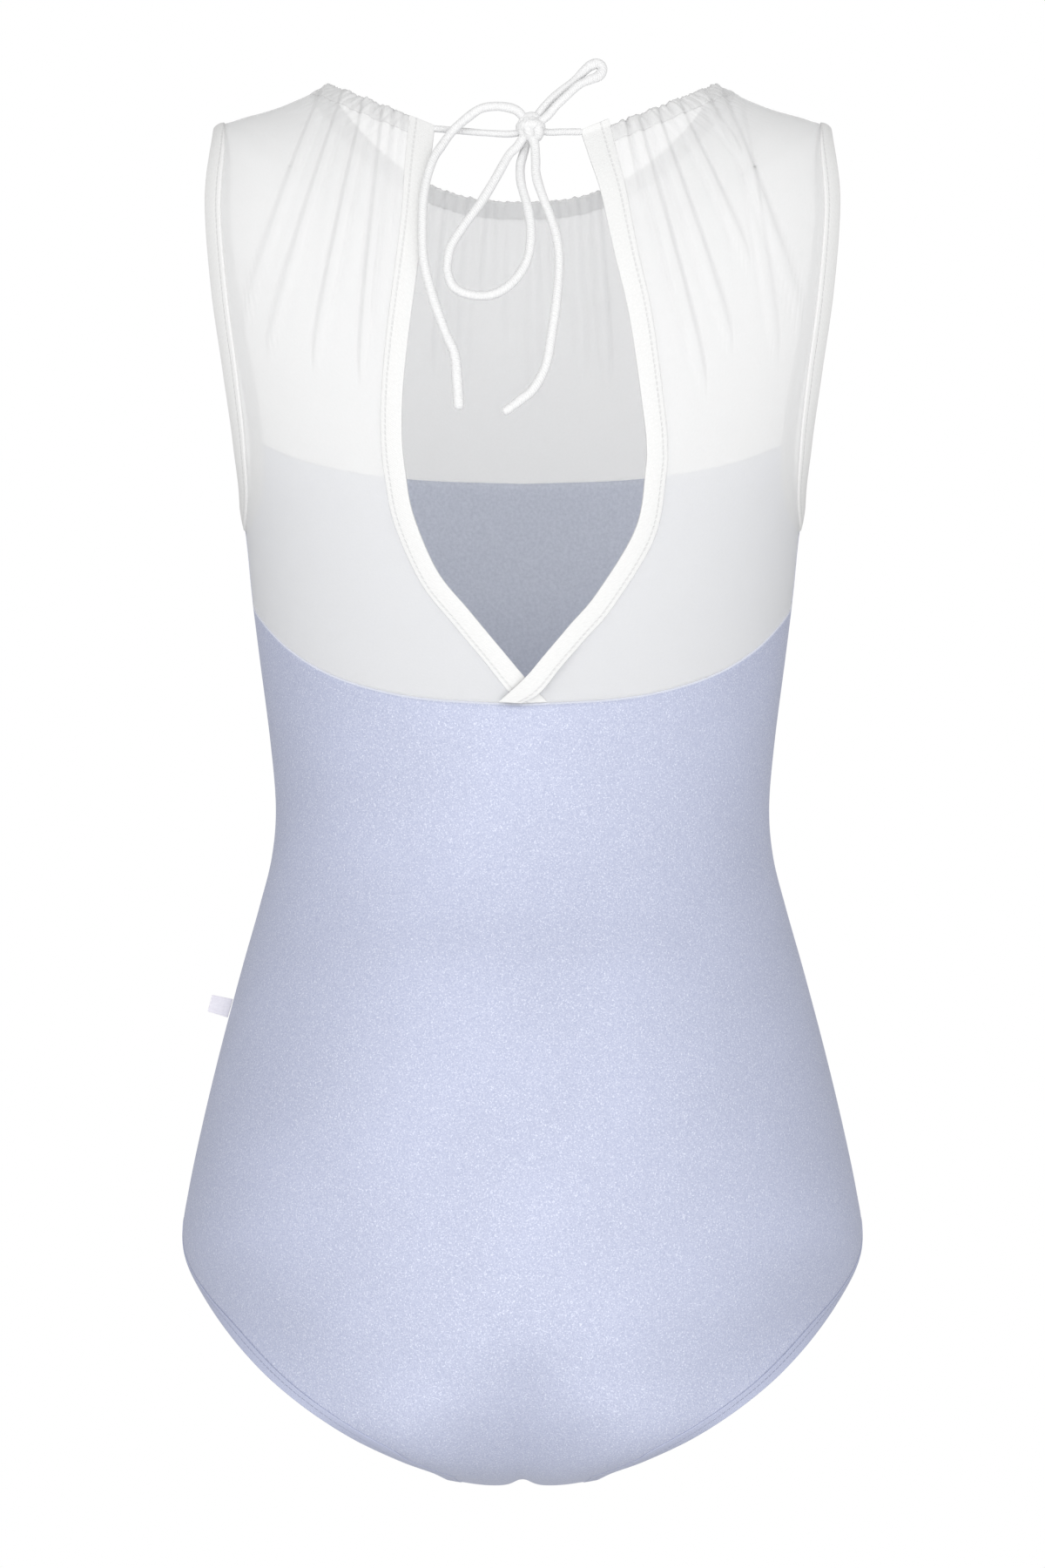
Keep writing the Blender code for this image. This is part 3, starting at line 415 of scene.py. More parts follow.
def cord_tube(grid, centres, radii, sides=20, closed=False):
    """A cord swept through its centres: a grid rolled round them and joined, with domed ends."""
    along = np.gradient(centres, axis=0)
    if closed:
        along[0] = along[-1] = centres[1] - centres[-2]
    along /= np.linalg.norm(along, axis=1, keepdims=True)
    if not closed:
        dome = np.radians((90.0, 65.0, 40.0, 18.0))
        start = [centres[0] - along[0] * radii[0] * 0.8 * math.sin(turn) for turn in dome]
        end = [centres[-1] + along[-1] * radii[-1] * 0.8 * math.sin(turn) for turn in dome[::-1]]
        centres = np.vstack([start, centres, end])
        radii = np.concatenate([radii[0] * np.cos(dome), radii, radii[-1] * np.cos(dome[::-1])])
        along = np.vstack([[along[0]] * len(dome), along, [along[-1]] * len(dome)])
    side = np.cross(along[0], (0.31, 0.9, 0.3))
    places = np.zeros((len(centres), sides + 1, 3))
    turns = np.linspace(0, 2 * math.pi, sides + 1)[:, None]
    for number, (centre, ahead, radius) in enumerate(zip(centres, along, radii)):
        side = side - np.dot(side, ahead) * ahead
        side /= np.linalg.norm(side)
        places[number] = centre + radius * (np.cos(turns) * side + np.sin(turns) * np.cross(ahead, side))
    if closed:
        places[-1] = places[0]
    run = np.concatenate([[0.0], np.cumsum(np.linalg.norm(np.diff(centres, axis=0), axis=1))])
    map_down = np.repeat(run[:, None], sides + 1, axis=1)
    map_across = np.repeat(turns.T * np.mean(radii), len(centres), axis=0)
    made = lay_grid(grid, places, map_across, map_down)
    bmesh.ops.remove_doubles(grid, verts=made, dist=1e-6)


def add_piece(name, grid, material, slot, *nodes):
    """Turns a bmesh into a named piece with its finish, riding on the garment in its nodes' place."""
    bmesh.ops.recalc_face_normals(grid, faces=grid.faces)
    mesh = bpy.data.meshes.new(name)
    grid.to_mesh(mesh)
    grid.free()
    mesh.shade_smooth()
    piece = bpy.data.objects.new(name, mesh)
    piece.data.materials.append(material)
    bpy.context.scene.collection.objects.link(piece)
    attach(piece, "root")
    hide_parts(*nodes)
    return piece


def cord_piece(name, route, thickness, nodes):
    """A cord through route points with thicknesses along them, finely rounded."""
    steps = (len(route) - 1) * 8
    position = np.linspace(0, len(route) - 1, steps + 1)
    centres = smooth_rows(route, position)
    wobble = 1 + 0.03 * np.sin(position * 2.3) + 0.02 * np.sin(position * 5.1 + 1)
    radii = smooth_rows(thickness, position * (len(thickness) - 1) / (len(route) - 1))[:, 0] / 2 * wobble
    grid = bmesh.new()
    cord_tube(grid, centres, radii)
    piece = add_piece(name, grid, cord_white, "cord", *nodes)
    return piece


through_knot = np.array([KNOT_AT])
cord_piece(
    "drawstring_left",
    np.vstack([behind_back(SPAN_LEFT_ROUTE), through_knot, behind_back(END_LEFT_ROUTE)]),
    np.array([[3.0], [3.1], [3.2], [4.2], [4.2], [4.1], [4.1], [4.0], [4.0], [4.1], [4.3], [4.6], [5.0]]),
    ("tie_span_left", "tie_end_left"),
)
cord_piece(
    "drawstring_right",
    np.vstack([behind_back(SPAN_RIGHT_ROUTE), through_knot, behind_back(END_RIGHT_ROUTE)]),
    np.array([[3.1], [3.1], [3.8], [4.3], [4.2], [4.1], [4.1], [4.2], [4.4], [4.5], [4.4], [4.5]]),
    ("tie_span_right", "tie_end_right"),
)
cord_piece(
    "bow_loop_low",
    np.vstack(
        [through_knot + (1.5, 0.5, -2), behind_back(LOOP_LOW_ROUTE), through_knot + (0.5, -2.5, -2)]
    ),
    np.array([[4.0], [4.2], [4.1], [4.3], [4.2], [4.0]]),
    ("tie_loop_low",),
)
cord_piece(
    "bow_loop_high",
    np.vstack(
        [through_knot + (-1, -2, 1), behind_back(LOOP_HIGH_ROUTE), through_knot + (-2, 1.5, 1)]
    ),
    np.array([[3.8], [3.9], [3.7], [4.5], [4.7], [4.5], [3.7], [3.9], [3.8]]),
    ("tie_loop_high",),
)

# Knot: the bow's knot, where the cord wraps round itself in a small tight ball.
# tilt about x and z in degrees, ring radius, cord radius, shift across, back and up
KNOT_WRAPS = (
    (12.0, 8.0, 4.3, 2.5, -0.4, 0.4, 0.2),
    (78.0, 24.0, 4.2, 2.5, -0.6, 0.0, 0.5),
    (64.0, -52.0, 4.0, 2.4, -1.2, 0.3, -0.6),
    (100.0, 88.0, 3.8, 2.4, 0.6, 0.4, 0.0),
)
knot = bmesh.new()
for tilt, turn, ring, radius, over, back, up in KNOT_WRAPS:
    around = np.linspace(0, 2 * math.pi, 37)
    circle = np.stack([ring * np.cos(around), ring * np.sin(around), np.zeros(37)], axis=-1)
    lean_back = np.array(Matrix.Rotation(math.radians(tilt), 3, "X"))
    swing = np.array(Matrix.Rotation(math.radians(turn), 3, "Z"))
    centres = circle @ lean_back.T @ swing.T + KNOT_AT + (over, back, up)
    cord_tube(knot, centres, np.full(37, radius), sides=16, closed=True)
add_piece("bow_knot", knot, cord_white, "cord", "tie_knot")

# Velvet body: a front and a back panel of light blue stretch velvet with a fine shimmer, sewn together at
# the sides and the crotch. The cloth is filled out, so it lies smooth, and it shines where it turns
# towards the light.
VELVET_WALL = 0.9
LEG_TOP_ROW = 18.7
CROTCH_ROW = 29.0
LEG_HEM_WIDTH = 5.5
VELVET_COLUMNS = 110
VELVET_LEG_ROWS = 110
VELVET_FLANK_ROWS = 110
SEAT_CREASE_DEPTH = 2.2
SEAT_CREASE_WIDTH = 5.0
SEAT_CREASE_ROWS = (25.5, 28.0)
# share of the way from centre back to the side, height
BACK_SEAM = (
    (0.0, -283.7),
    (0.22, -281.0),
    (0.38, -275.8),
    (0.52, -268.6),
    (0.66, -258.6),
    (0.82, -246.0),
    (1.0, -236.0),
)
FRONT_SEAM = ((0.0, -177.5), (0.35, -175.5), (0.7, -169.5), (1.0, -161.0))
# top_row, bottom_row, reach round to the back, reach round to the front
ARMHOLE_EDGE = (2.82, 7.95, 0.300, 0.330)
ARMHOLE_SEAM = (2.42, 8.22, 0.365, 0.392)
ARMHOLE_FRONT_SKEW = 0.12

velvet, make, shader = finish("pale blue velvet", 0.5, 0.0, 0.9)
shader.inputs["Metallic"].default_value = 0.13
place = make("ShaderNodeTexCoord")
threads = make("ShaderNodeUVMap", {"uv_map": "cloth"})
parted = make("ShaderNodeSeparateXYZ", Vector=threads.outputs["UV"])
tint, pile = fibres(make, place.outputs["Object"], (0.515, 0.545, 0.69), (0.40, 0.435, 0.59), 1100.0)
# Painted sheen: large soft patches of the pile, up to 2.5% lighter or darker, at random places.
sheen_patch_noise = make("ShaderNodeTexNoise", Vector=place.outputs["Object"], Scale=16.0, Detail=2.0)
painted_sheen_drift = ranged(make, sheen_patch_noise.outputs["Fac"], (0.35, 0.65), (0.975, 1.025))
toned = make("ShaderNodeVectorMath", {"operation": "SCALE"}, Vector=tint, Scale=painted_sheen_drift)
# A pale bluish-white line along the velvet's top edge, fading out between 0.5 and 1.1 mm below it.
pale_top_edge = ranged(make, parted.outputs["Y"], (0.5 * MM, 1.1 * MM), (0.7, 0.0))
edged = tinted(make, pale_top_edge, toned.outputs["Vector"], (0.86, 0.88, 0.95, 1))
glints = make("ShaderNodeTexNoise", Vector=place.outputs["Object"], Scale=1700.0, Detail=1.0)
gloss = ranged(make, glints.outputs["Fac"], (0.35, 0.7), (0.6, 0.34))
# Painted glints: the noise's brightest specks are made paler, as sparkles of the shimmer; the same noise
# lowers the roughness there.
painted_glint = ranged(make, glints.outputs["Fac"], (0.56, 0.72), (0.0, 0.6))
glint_tinted = tinted(make, painted_glint, edged, (0.80, 0.83, 0.93, 1))
velvet.node_tree.links.new(glint_tinted, shader.inputs["Base Color"])
velvet.node_tree.links.new(gloss, shader.inputs["Roughness"])
relief(make, shader, pile, 0.08 * MM)

velvet_inside, make, shader = finish("velvet's knitted inside", 0.8, 0.1, 0.2)
place = make("ShaderNodeTexCoord")
tint, knitted = fibres(make, place.outputs["Object"], (0.68, 0.71, 0.80), (0.58, 0.61, 0.70), 700.0)
velvet_inside.node_tree.links.new(tint, shader.inputs["Base Color"])
relief(make, shader, knitted, 0.06 * MM)


def measured(places, axis):
    """Running distances along one direction of rows of points."""
    steps = np.linalg.norm(np.diff(places, axis=axis), axis=-1)
    return np.insert(np.cumsum(steps, axis=axis), 0, 0.0, axis=axis)


def cloth_piece(
    name, places, wall, material, slot, nodes, closed=False, round_edge=0.0, inside=None, drawn=None
):
    """A grid of cloth laid onto rows of points and given the cloth's thickness, half to each side.

    inside is the finish of its other face, and the last argument holds the shade painted along the net's
    gathers, which also makes the net denser there."""
    places = np.asarray(places)
    across = measured(places, 1)
    across -= across[:, across.shape[1] // 2 : across.shape[1] // 2 + 1]
    grid = bmesh.new()
    made = lay_grid(grid, places, across, measured(places, 0), drawn)
    if closed:
        bmesh.ops.remove_doubles(grid, verts=made, dist=1e-6)
    piece = add_piece(name, grid, material, slot, *nodes)
    facing = (face.normal.xy.dot(face.center.xy) for face in piece.data.polygons)
    if sum(facing) < 0:
        piece.data.flip_normals()
    thickness = piece.modifiers.new("cloth thickness", "SOLIDIFY")
    if inside:
        piece.data.materials.append(inside)
        thickness.material_offset = 1
    thickness.thickness = wall * MM
    thickness.offset = 0.0
    if round_edge:
        turned = piece.modifiers.new("turned edge", "BEVEL")
        turned.width = round_edge * MM
        turned.segments = 3
        turned.limit_method = "ANGLE"
        turned.angle_limit = math.radians(50)
    return piece


def row_at_height(face, share, height):
    """The rows whose surface has these heights at these shares across."""
    low, high = np.zeros(np.shape(share)), np.full(np.shape(share), 29.0)
    for _ in range(32):
        middle = (low + high) / 2
        above = form(face, middle, share)[..., 2] > height
        low, high = np.where(above, middle, low), np.where(above, high, middle)
    return (low + high) / 2


def oval(rim, face, row):
    """How far across the form an armhole oval lies at these rows."""
    top, bottom, back_reach, front_reach = rim
    rise = ((top + bottom) / 2 - row) / ((bottom - top) / 2)
    reach = back_reach if face == "back" else front_reach * (1 - ARMHOLE_FRONT_SKEW * rise)
    return 1 - reach * np.sqrt(np.maximum(0.0, 1 - rise * rise))


def seam_height(table, position):
    """Heights along a seam, read smoothly from its short table."""
    fine_rows = smooth_rows(table, np.linspace(0, len(table) - 1, 8 * len(table)))
    return np.interp(np.abs(position), fine_rows[:, 0], fine_rows[:, 1])


def back_seam_row(share):
    """The back velvet's top seam: its rows at shares across."""
    return row_at_height("back", np.abs(share), seam_height(BACK_SEAM, share))


def front_seam_outer_row():
    """The row where the front velvet's top seam meets the armhole."""
    low, high = ARMHOLE_SEAM[:2]
    for _ in range(32):
        middle = (low + high) / 2
        if form("front", middle, oval(ARMHOLE_SEAM, "front", middle))[2] > FRONT_SEAM[-1][1]:
            low = middle
        else:
            high = middle
    return middle


FRONT_SEAM_ROW = front_seam_outer_row()


def front_seam_row(part):
    """The front velvet's top seam: its rows at parts of the way from the centre to the armhole."""
    share = np.abs(part) * oval(ARMHOLE_SEAM, "front", FRONT_SEAM_ROW)
    return row_at_height("front", share, seam_height(FRONT_SEAM, part))


def leg_edge_row(row):
    """The leg edge's row beside a row of the hem's seam; they part where the leg meets the side."""
    lead = HIP_ROW - LEG_TOP_ROW
    return np.minimum(row + lead * np.maximum(0.0, 1 - (row - LEG_TOP_ROW) / (6 * lead)), 29.0)


def leg_share(face, row):
    """How far across the velvet reaches at these rows, a hem's width inside the leg edge."""
    edge_row = leg_edge_row(row)
    edge = form(face, edge_row, 1.0)
    along = form(face, np.minimum(edge_row + 0.05, 29.0), 1.0) - form(face, edge_row - 0.05, 1.0)
    along /= np.linalg.norm(along, axis=-1, keepdims=True)
    low, high = np.full(np.shape(row), 0.4), np.ones(np.shape(row))
    for _ in range(26):
        middle = (low + high) / 2
        reach = form(face, row, middle) - edge
        apart = np.linalg.norm(reach - np.sum(reach * along, axis=-1, keepdims=True) * along, axis=-1)
        wide = apart > LEG_HEM_WIDTH
        low, high = np.where(wide, middle, low), np.where(wide, high, middle)
    return np.where(row <= LEG_TOP_ROW, 1.0, middle)


def creased(face, row, share, fade_rows):
    """Points of the form, drawn in a little along the centre seam of the seat."""
    start, full = fade_rows
    points = form(face, row, share)
    depth = SEAT_CREASE_DEPTH * np.clip((row - start) / (full - start), 0.0, 1.0)
    lift = depth * np.exp(-((points[..., 0] / SEAT_CREASE_WIDTH) ** 2))
    return points - outward(face, row, share) * lift[..., None]


parts = np.linspace(-1, 1, VELVET_COLUMNS + 1)
leg_rows = np.linspace(LEG_TOP_ROW, CROTCH_ROW, VELVET_LEG_ROWS + 1)[1:]
tops = back_seam_row(parts)
flank = np.linspace(0, 1, VELVET_FLANK_ROWS + 1)[:, None]
back_places = np.concatenate(
    [
        form("back", tops + (LEG_TOP_ROW - tops) * flank, parts + 0 * flank),
        creased(
            "back",
            leg_rows[:, None] + 0 * parts,
            parts * leg_share("back", leg_rows)[:, None],
            SEAT_CREASE_ROWS,
        ),
    ]
)
velvet_back = cloth_piece(
    "velvet_back", back_places, VELVET_WALL, velvet, "velvet", ("body_back",), inside=velvet_inside
)

underarm = ARMHOLE_SEAM[1]
tops = front_seam_row(parts)
dip = np.sin(np.linspace(0, math.pi / 2, 25))[:-1, None]
dip_share = oval(ARMHOLE_SEAM, "front", tops[-1] + (underarm - tops[-1]) * dip)
front_places = np.concatenate(
    [
        form("front", tops + (underarm - tops) * dip, parts * dip_share),
        form("front", underarm + (LEG_TOP_ROW - underarm) * flank + 0 * parts, parts + 0 * flank),
        creased(
            "front",
            leg_rows[:, None] + 0 * parts,
            parts * leg_share("front", leg_rows)[:, None],
            (SEAT_CREASE_ROWS[1], CROTCH_ROW),
        ),
    ]
)
velvet_front = cloth_piece(
    "velvet_front", front_places, VELVET_WALL, velvet, "velvet", ("body_front",), inside=velvet_inside
)

# Leg hems: the velvet's own edge turned in and sewn with a row of stitches, round each leg opening.
HEM_WALL = 1.5
HEM_STITCHES_IN = 1.5
hem_velvet, make, shader = finish("stitched velvet hem", 0.45, 0.0, 0.6)
shader.inputs["Metallic"].default_value = 0.13
threads = make("ShaderNodeUVMap", {"uv_map": "cloth"})
parted = make("ShaderNodeSeparateXYZ", Vector=threads.outputs["UV"])
tint, pile = fibres(make, threads.outputs["UV"], (0.515, 0.545, 0.69), (0.42, 0.455, 0.61), 1100.0)
row = make(
    "ShaderNodeGroup",
    {"node_tree": stitches},
    Across=parted.outputs["X"],
    Along=parted.outputs["Y"],
    At=HEM_STITCHES_IN * MM,
)
# Painted shade: the sunk stitch line is darkened.
stitch_shade = worked(make, "MULTIPLY", row.outputs["Mask"], 0.5)
shaded_at_stitches = tinted(make, stitch_shade, tint, (0.33, 0.37, 0.58, 1))
hem_velvet.node_tree.links.new(shaded_at_stitches, shader.inputs["Base Color"])
relief(make, shader, worked(make, "MULTIPLY_ADD", row.outputs["Mask"], -3.0, pile), 0.08 * MM)

for name, side in (("left", 1), ("right", -1)):
    places = []
    rows = np.concatenate([[LEG_TOP_ROW], leg_rows])
    for face in ("back", "front"):
        run = rows if face == "back" else rows[::-1][1:]
        edge_row, share = leg_edge_row(run), leg_share(face, run)
        inset = np.linspace(0, 1, 7)
        band = form(
            face,
            edge_row[:, None] + (run - edge_row)[:, None] * inset,
            1 + (share - 1)[:, None] * inset,
        )
        places.append(band)
    places = np.concatenate(places)
    places[-1] = places[0]
    places[..., 0] *= side
    cloth_piece(
            f"hem_{name}",
            places,
            HEM_WALL,
            hem_velvet,
            "velvet",
            (f"leg_hem_{name}",),
            closed=True,
            round_edge=0.5,
        )

# Mesh yoke: a front and two back panels of white stretch net that shows a little of what lies behind it,
# gathered into the neck casing in uneven soft folds that die out down the panel.
MESH_WALL = 0.5
CASING_ROWS = 0.36
# edge_x, edge_z, seam_x, seam_z, lift
KEYHOLE_LEFT = (
    (39.6, -22.8, 51.0, -17.6, 0.0),
    (41.5, -42.0, 52.8, -40.0, 0.0),
    (43.6, -62.0, 54.0, -61.0, 0.0),
    (46.4, -84.4, 56.4, -83.6, 0.0),
    (50.7, -116.4, 60.4, -116.0, 0.0),
    (53.4, -143.3, 62.8, -144.0, 0.0),
    (53.8, -164.4, 63.0, -166.0, 0.0),
    (52.3, -180.0, 61.2, -183.0, 0.0),
    (48.8, -199.1, 57.0, -203.5, 0.0),
    (38.2, -224.1, 45.0, -230.0, 0.0),
    (23.8, -242.0, 30.3, -248.6, 0.0),
    (10.5, -258.0, 17.0, -264.6, 0.0),
    (-1.2, -272.0, 6.6, -277.6, 0.0),
    (-11.0, -282.9, 0.2, -283.2, 0.0),
)
KEYHOLE_RIGHT = (
    (26.1, -24.8, 38.7, -19.4, 0.0),
    (30.5, -39.0, 42.4, -36.0, 0.0),
    (35.1, -53.6, 46.0, -51.0, 0.0),
    (41.3, -82.1, 51.5, -80.5, 0.0),
    (48.0, -111.7, 57.9, -110.5, 0.0),
    (54.2, -155.4, 63.6, -155.4, 0.0),
    (55.4, -168.3, 64.6, -169.5, 0.0),
    (55.0, -178.8, 64.0, -181.5, 0.0),
    (50.7, -205.0, 58.8, -209.5, 0.0),
    (33.5, -233.8, 40.3, -240.2, 0.0),
    (21.0, -248.6, 27.9, -254.6, 0.8),
    (10.0, -261.6, 16.9, -267.4, 2.6),
    (1.2, -272.0, 7.8, -278.6, 3.4),
    (-10.6, -282.8, -0.6, -283.2, 2.4),
)
# start_x, start_z, end_x, end_z, height, half_width_start, half_width_end
GATHERS_BACK_LEFT = (
    (51.9, -23.6, 56.6, -76.0, 1.2, 2.0, 2.4),
    (56.6, -23.6, 66.3, -119.0, 1.2, 2.2, 2.8),
    (61.6, -23.6, 71.8, -139.4, 1.8, 2.6, 3.8),
    (72.2, -23.6, 93.2, -132.0, 1.8, 2.6, 3.8),
    (84.2, -22.4, 114.7, -125.8, 1.5, 2.7, 3.5),
    (94.8, -20.0, 126.0, -111.7, 1.3, 2.7, 3.3),
)
GATHERS_BACK_RIGHT = (
    (-44.9, -23.0, -52.3, -63.0, 1.2, 2.0, 2.4),
    (-51.5, -25.0, -81.5, -142.0, 1.9, 2.7, 4.0),
    (-60.5, -22.0, -93.6, -122.6, 1.8, 2.7, 3.7),
    (-72.2, -19.0, -101.8, -85.0, 1.4, 2.5, 3.1),
    (-84.6, -12.0, -98.3, -37.0, 1.0, 2.3, 2.7),
    (-91.7, -13.5, -126.0, -110.0, 1.4, 2.7, 3.6),
    (-104.5, -58.0, -114.3, -126.0, 0.8, 2.5, 3.0),
)
FRONT_GATHER_COUNT = 18
FRONT_GATHER_REACH = 82.0
FRONT_GATHER_LENGTHS = (84.0, 52.0, 98.0, 66.0, 47.0, 90.0)
FRONT_GATHER_HEIGHTS = (1.4, 0.9, 1.2, 1.0, 0.8)
FRONT_GATHER_WIDTHS = (2.0, 3.2)

net, make, shader = finish("white stretch net", 0.6, 0.0, 0.2)
threads = make("ShaderNodeUVMap", {"uv_map": "cloth"})
painted_fold_shade = make("ShaderNodeAttribute", {"attribute_name": "drawn"})
tint, yarn = fibres(make, threads.outputs["UV"], (0.91, 0.91, 0.91), (0.885, 0.885, 0.885), 900.0)
# Painted shade: the net is darkened to grey along the hollows beside its gathers, at the puckers by the
# cord and along the casing's stitches; the same mask makes it more opaque there, where the net lies
# denser.
shaded = tinted(make, painted_fold_shade.outputs["Fac"], tint, (0.55, 0.55, 0.555, 1))
cover = ranged(make, painted_fold_shade.outputs["Fac"], (0.0, 1.0), (0.48, 0.85))
net.node_tree.links.new(shaded, shader.inputs["Base Color"])
net.node_tree.links.new(cover, shader.inputs["Alpha"])
relief(make, shader, yarn, 0.03 * MM)


def keyhole_line(table, mirror):
    """A keyhole table as closely spaced rows: free edge, seam, lift, and the seam's row and share."""
    fine_rows = smooth_rows(table, np.linspace(0, len(table) - 1, 8 * len(table)))
    edge_x, edge_z, seam_x, seam_z, lift = fine_rows.T
    row, share = spot_on_back(mirror * seam_x, seam_z)
    return np.stack([mirror * edge_x, edge_z, mirror * seam_x, seam_z, lift, row, share], axis=-1)


KEYHOLE = {1: keyhole_line(KEYHOLE_LEFT, 1), -1: keyhole_line(KEYHOLE_RIGHT, -1)}
MESH_EDGE = {1: KEYHOLE[1][:, 5:7], -1: KEYHOLE[-1][:, 5:7]}


def yoke_inner_share(side, row):
    """How far from the centre back the mesh starts at these rows."""
    return np.maximum(np.abs(np.interp(row, MESH_EDGE[side][:, 0], MESH_EDGE[side][:, 1])) - TUCK, 0.0)


FOLD_HEIGHT = 0.62
HOLLOW_AT = 1.15
INNER_HOLLOW_WIDTH = 0.5
OUTER_HOLLOW_WIDTH = 0.38


def gathered(gathers, points):
    """The folds' height at points of the cloth, and the shade painted along the hollows beside them.

    Each fold is a soft tongue that runs down and outward from the neckline and ends in a rounded tip."""
    height, drawn = np.zeros(points.shape[:-1]), np.zeros(points.shape[:-1])
    for start_x, start_z, end_x, end_z, ridge, width_start, width_end in gathers:
        down = np.clip((start_z - points[..., 2]) / (start_z - end_z), -0.8, 1.0)
        fall = np.maximum(down, 0.0)
        tip = np.sqrt(1 - fall**6)
        off = (points[..., 0] - start_x - (end_x - start_x) * down) * np.sign(start_x + end_x)
        off /= (width_start + (width_end - width_start) * fall) * tip + 0.1
        inner = np.exp(-(((off + HOLLOW_AT) / INNER_HOLLOW_WIDTH) ** 2))
        outer = np.exp(-(((off - HOLLOW_AT) / OUTER_HOLLOW_WIDTH) ** 2))
        height += FOLD_HEIGHT * ridge * tip * (np.exp(-(off**4)) - 0.25 * inner - 0.35 * outer)
        # Painted shade along the hollows on both sides of the fold, more on its outer side.
        drawn += 0.13 * ridge * tip * (0.6 * inner + outer) * (1 - 0.35 * fall)
    return height, drawn


def crinkle(distance, pitch):
    """Small uneven puckers along the gathering cord."""
    turn = distance * 2 * math.pi / pitch
    ripple = np.sin(turn + 1.3 * np.sin(distance / (1.7 * pitch)))
    return ripple + 0.5 * np.sin(turn / 0.53 + 2.0 * np.sin(distance / (2.9 * pitch)))


YOKE_SPREAD = 150
PUCKER_HEIGHT = 0.3
FLAT_SIDE = 0.08


def yoke_point(face, row, part, share, gathers, tunnel=0.0):
    """Points of the net with its folds, which flatten out at the panel's sides, and the shade painted
    along its folds, puckers and the casing's stitches.
    """
    near_side = np.minimum(1 - np.abs(part), np.abs(part) if face == "back" else 1.0)
    flat = np.clip(near_side / FLAT_SIDE, 0, 1)
    distance = np.abs(share) * YOKE_SPREAD
    pucker = crinkle(distance, 5.5) * np.exp(-row / 0.4)
    points = form(face, row, share)
    height, drawn = gathered(gathers, points)
    lift = (height + PUCKER_HEIGHT * pucker) * flat + tunnel
    points = points + outward(face, row, share) * lift[..., None]
    points[..., 2] += 0.25 * crinkle(distance + 3, 4.1) * np.exp(-row / 0.12) * flat
    # Painted shade: a darker line along the casing's stitches.
    casing_stitch_shade = np.exp(-(((row - CASING_ROWS) / 0.04) ** 2))
    return points, np.clip(drawn * flat + 0.05 * np.abs(pucker) + 0.06 * casing_stitch_shade, 0, 1)


shoulder = ARMHOLE_SEAM[0]
TUCK = 0.012
UNDER_VELVET = 1.012
BACK_YOKE_COLUMNS = 190
FRONT_YOKE_COLUMNS = 300
ease = (1 - np.cos(np.linspace(0, math.pi, 61))) / 2


def yoke_back(side, gathers):
    """One back half of the net, from the neckline down to the back velvet."""
    part = np.linspace(0, 1, BACK_YOKE_COLUMNS + 1)
    lines = []
    steps = [(row, 0.0) for row in np.linspace(0, shoulder, 46)[:-1]]
    steps += [(shoulder + (underarm - shoulder) * step, 0.0) for step in ease]
    steps += [(underarm, step) for step in np.linspace(0, UNDER_VELVET, 31)[1:]]
    for row, below in steps:
        outer = min(float(oval(ARMHOLE_SEAM, "back", row)) + TUCK, 1.0)
        here = np.full(part.shape, row)
        share = outer * part + yoke_inner_share(side, here) * (1 - part)
        if below:
            for _ in range(6):
                here = row + (back_seam_row(share) - row) * below
                share = outer * part + yoke_inner_share(side, here) * (1 - part)
        lines.append(yoke_point("back", here, part, side * share, gathers))
    return [np.array(values) for values in zip(*lines)]


for name, side, gathers in (("left", 1, GATHERS_BACK_LEFT), ("right", -1, GATHERS_BACK_RIGHT)):
    places, drawn = yoke_back(side, gathers)
    cloth_piece(
        f"net_back_{name}", places, MESH_WALL, net, "mesh", (f"yoke_back_{name}",), drawn=drawn
    )

FRONT_NECK_DROP = 47
FRONT_NECK_REACH = 89
front_gathers = []
for number in range(FRONT_GATHER_COUNT):
    start_x = FRONT_GATHER_REACH * (2 * number / (FRONT_GATHER_COUNT - 1) - 1)
    start_z = -FRONT_NECK_DROP * (1 - abs(start_x / FRONT_NECK_REACH) ** 2.5)
    reach = FRONT_GATHER_LENGTHS[number % len(FRONT_GATHER_LENGTHS)]
    ridge = FRONT_GATHER_HEIGHTS[number % len(FRONT_GATHER_HEIGHTS)]
    front_gathers.append((start_x, start_z, 1.2 * start_x, start_z - reach, ridge, *FRONT_GATHER_WIDTHS))
part = np.linspace(-1, 1, FRONT_YOKE_COLUMNS + 1)
ends = front_seam_row(part)
lines = []
for row in np.linspace(0, shoulder, 46)[:-1]:
    lines.append(yoke_point("front", np.full(part.shape, row), part, part, front_gathers))
for step in 1 - np.cos(np.linspace(0, math.pi / 2, 61)):
    outer = oval(ARMHOLE_SEAM, "front", shoulder + (ends[-1] - shoulder) * step) + TUCK
    row = shoulder + (ends - shoulder) * step * UNDER_VELVET
    lines.append(yoke_point("front", row, part, part * np.minimum(outer, 1.0), front_gathers))
places, drawn = (np.array(values) for values in zip(*lines))
net_front = cloth_piece("net_front", places, MESH_WALL, net, "mesh", ("yoke_front",), drawn=drawn)

# Neck casing: the net's top edge folded over the drawstring and sewn down as a narrow tunnel. It is drawn
# up on the cord, so the net's gathers run on over it to the neckline.
CASING_WALL = 0.6
TUNNEL_HEIGHT = 0.6


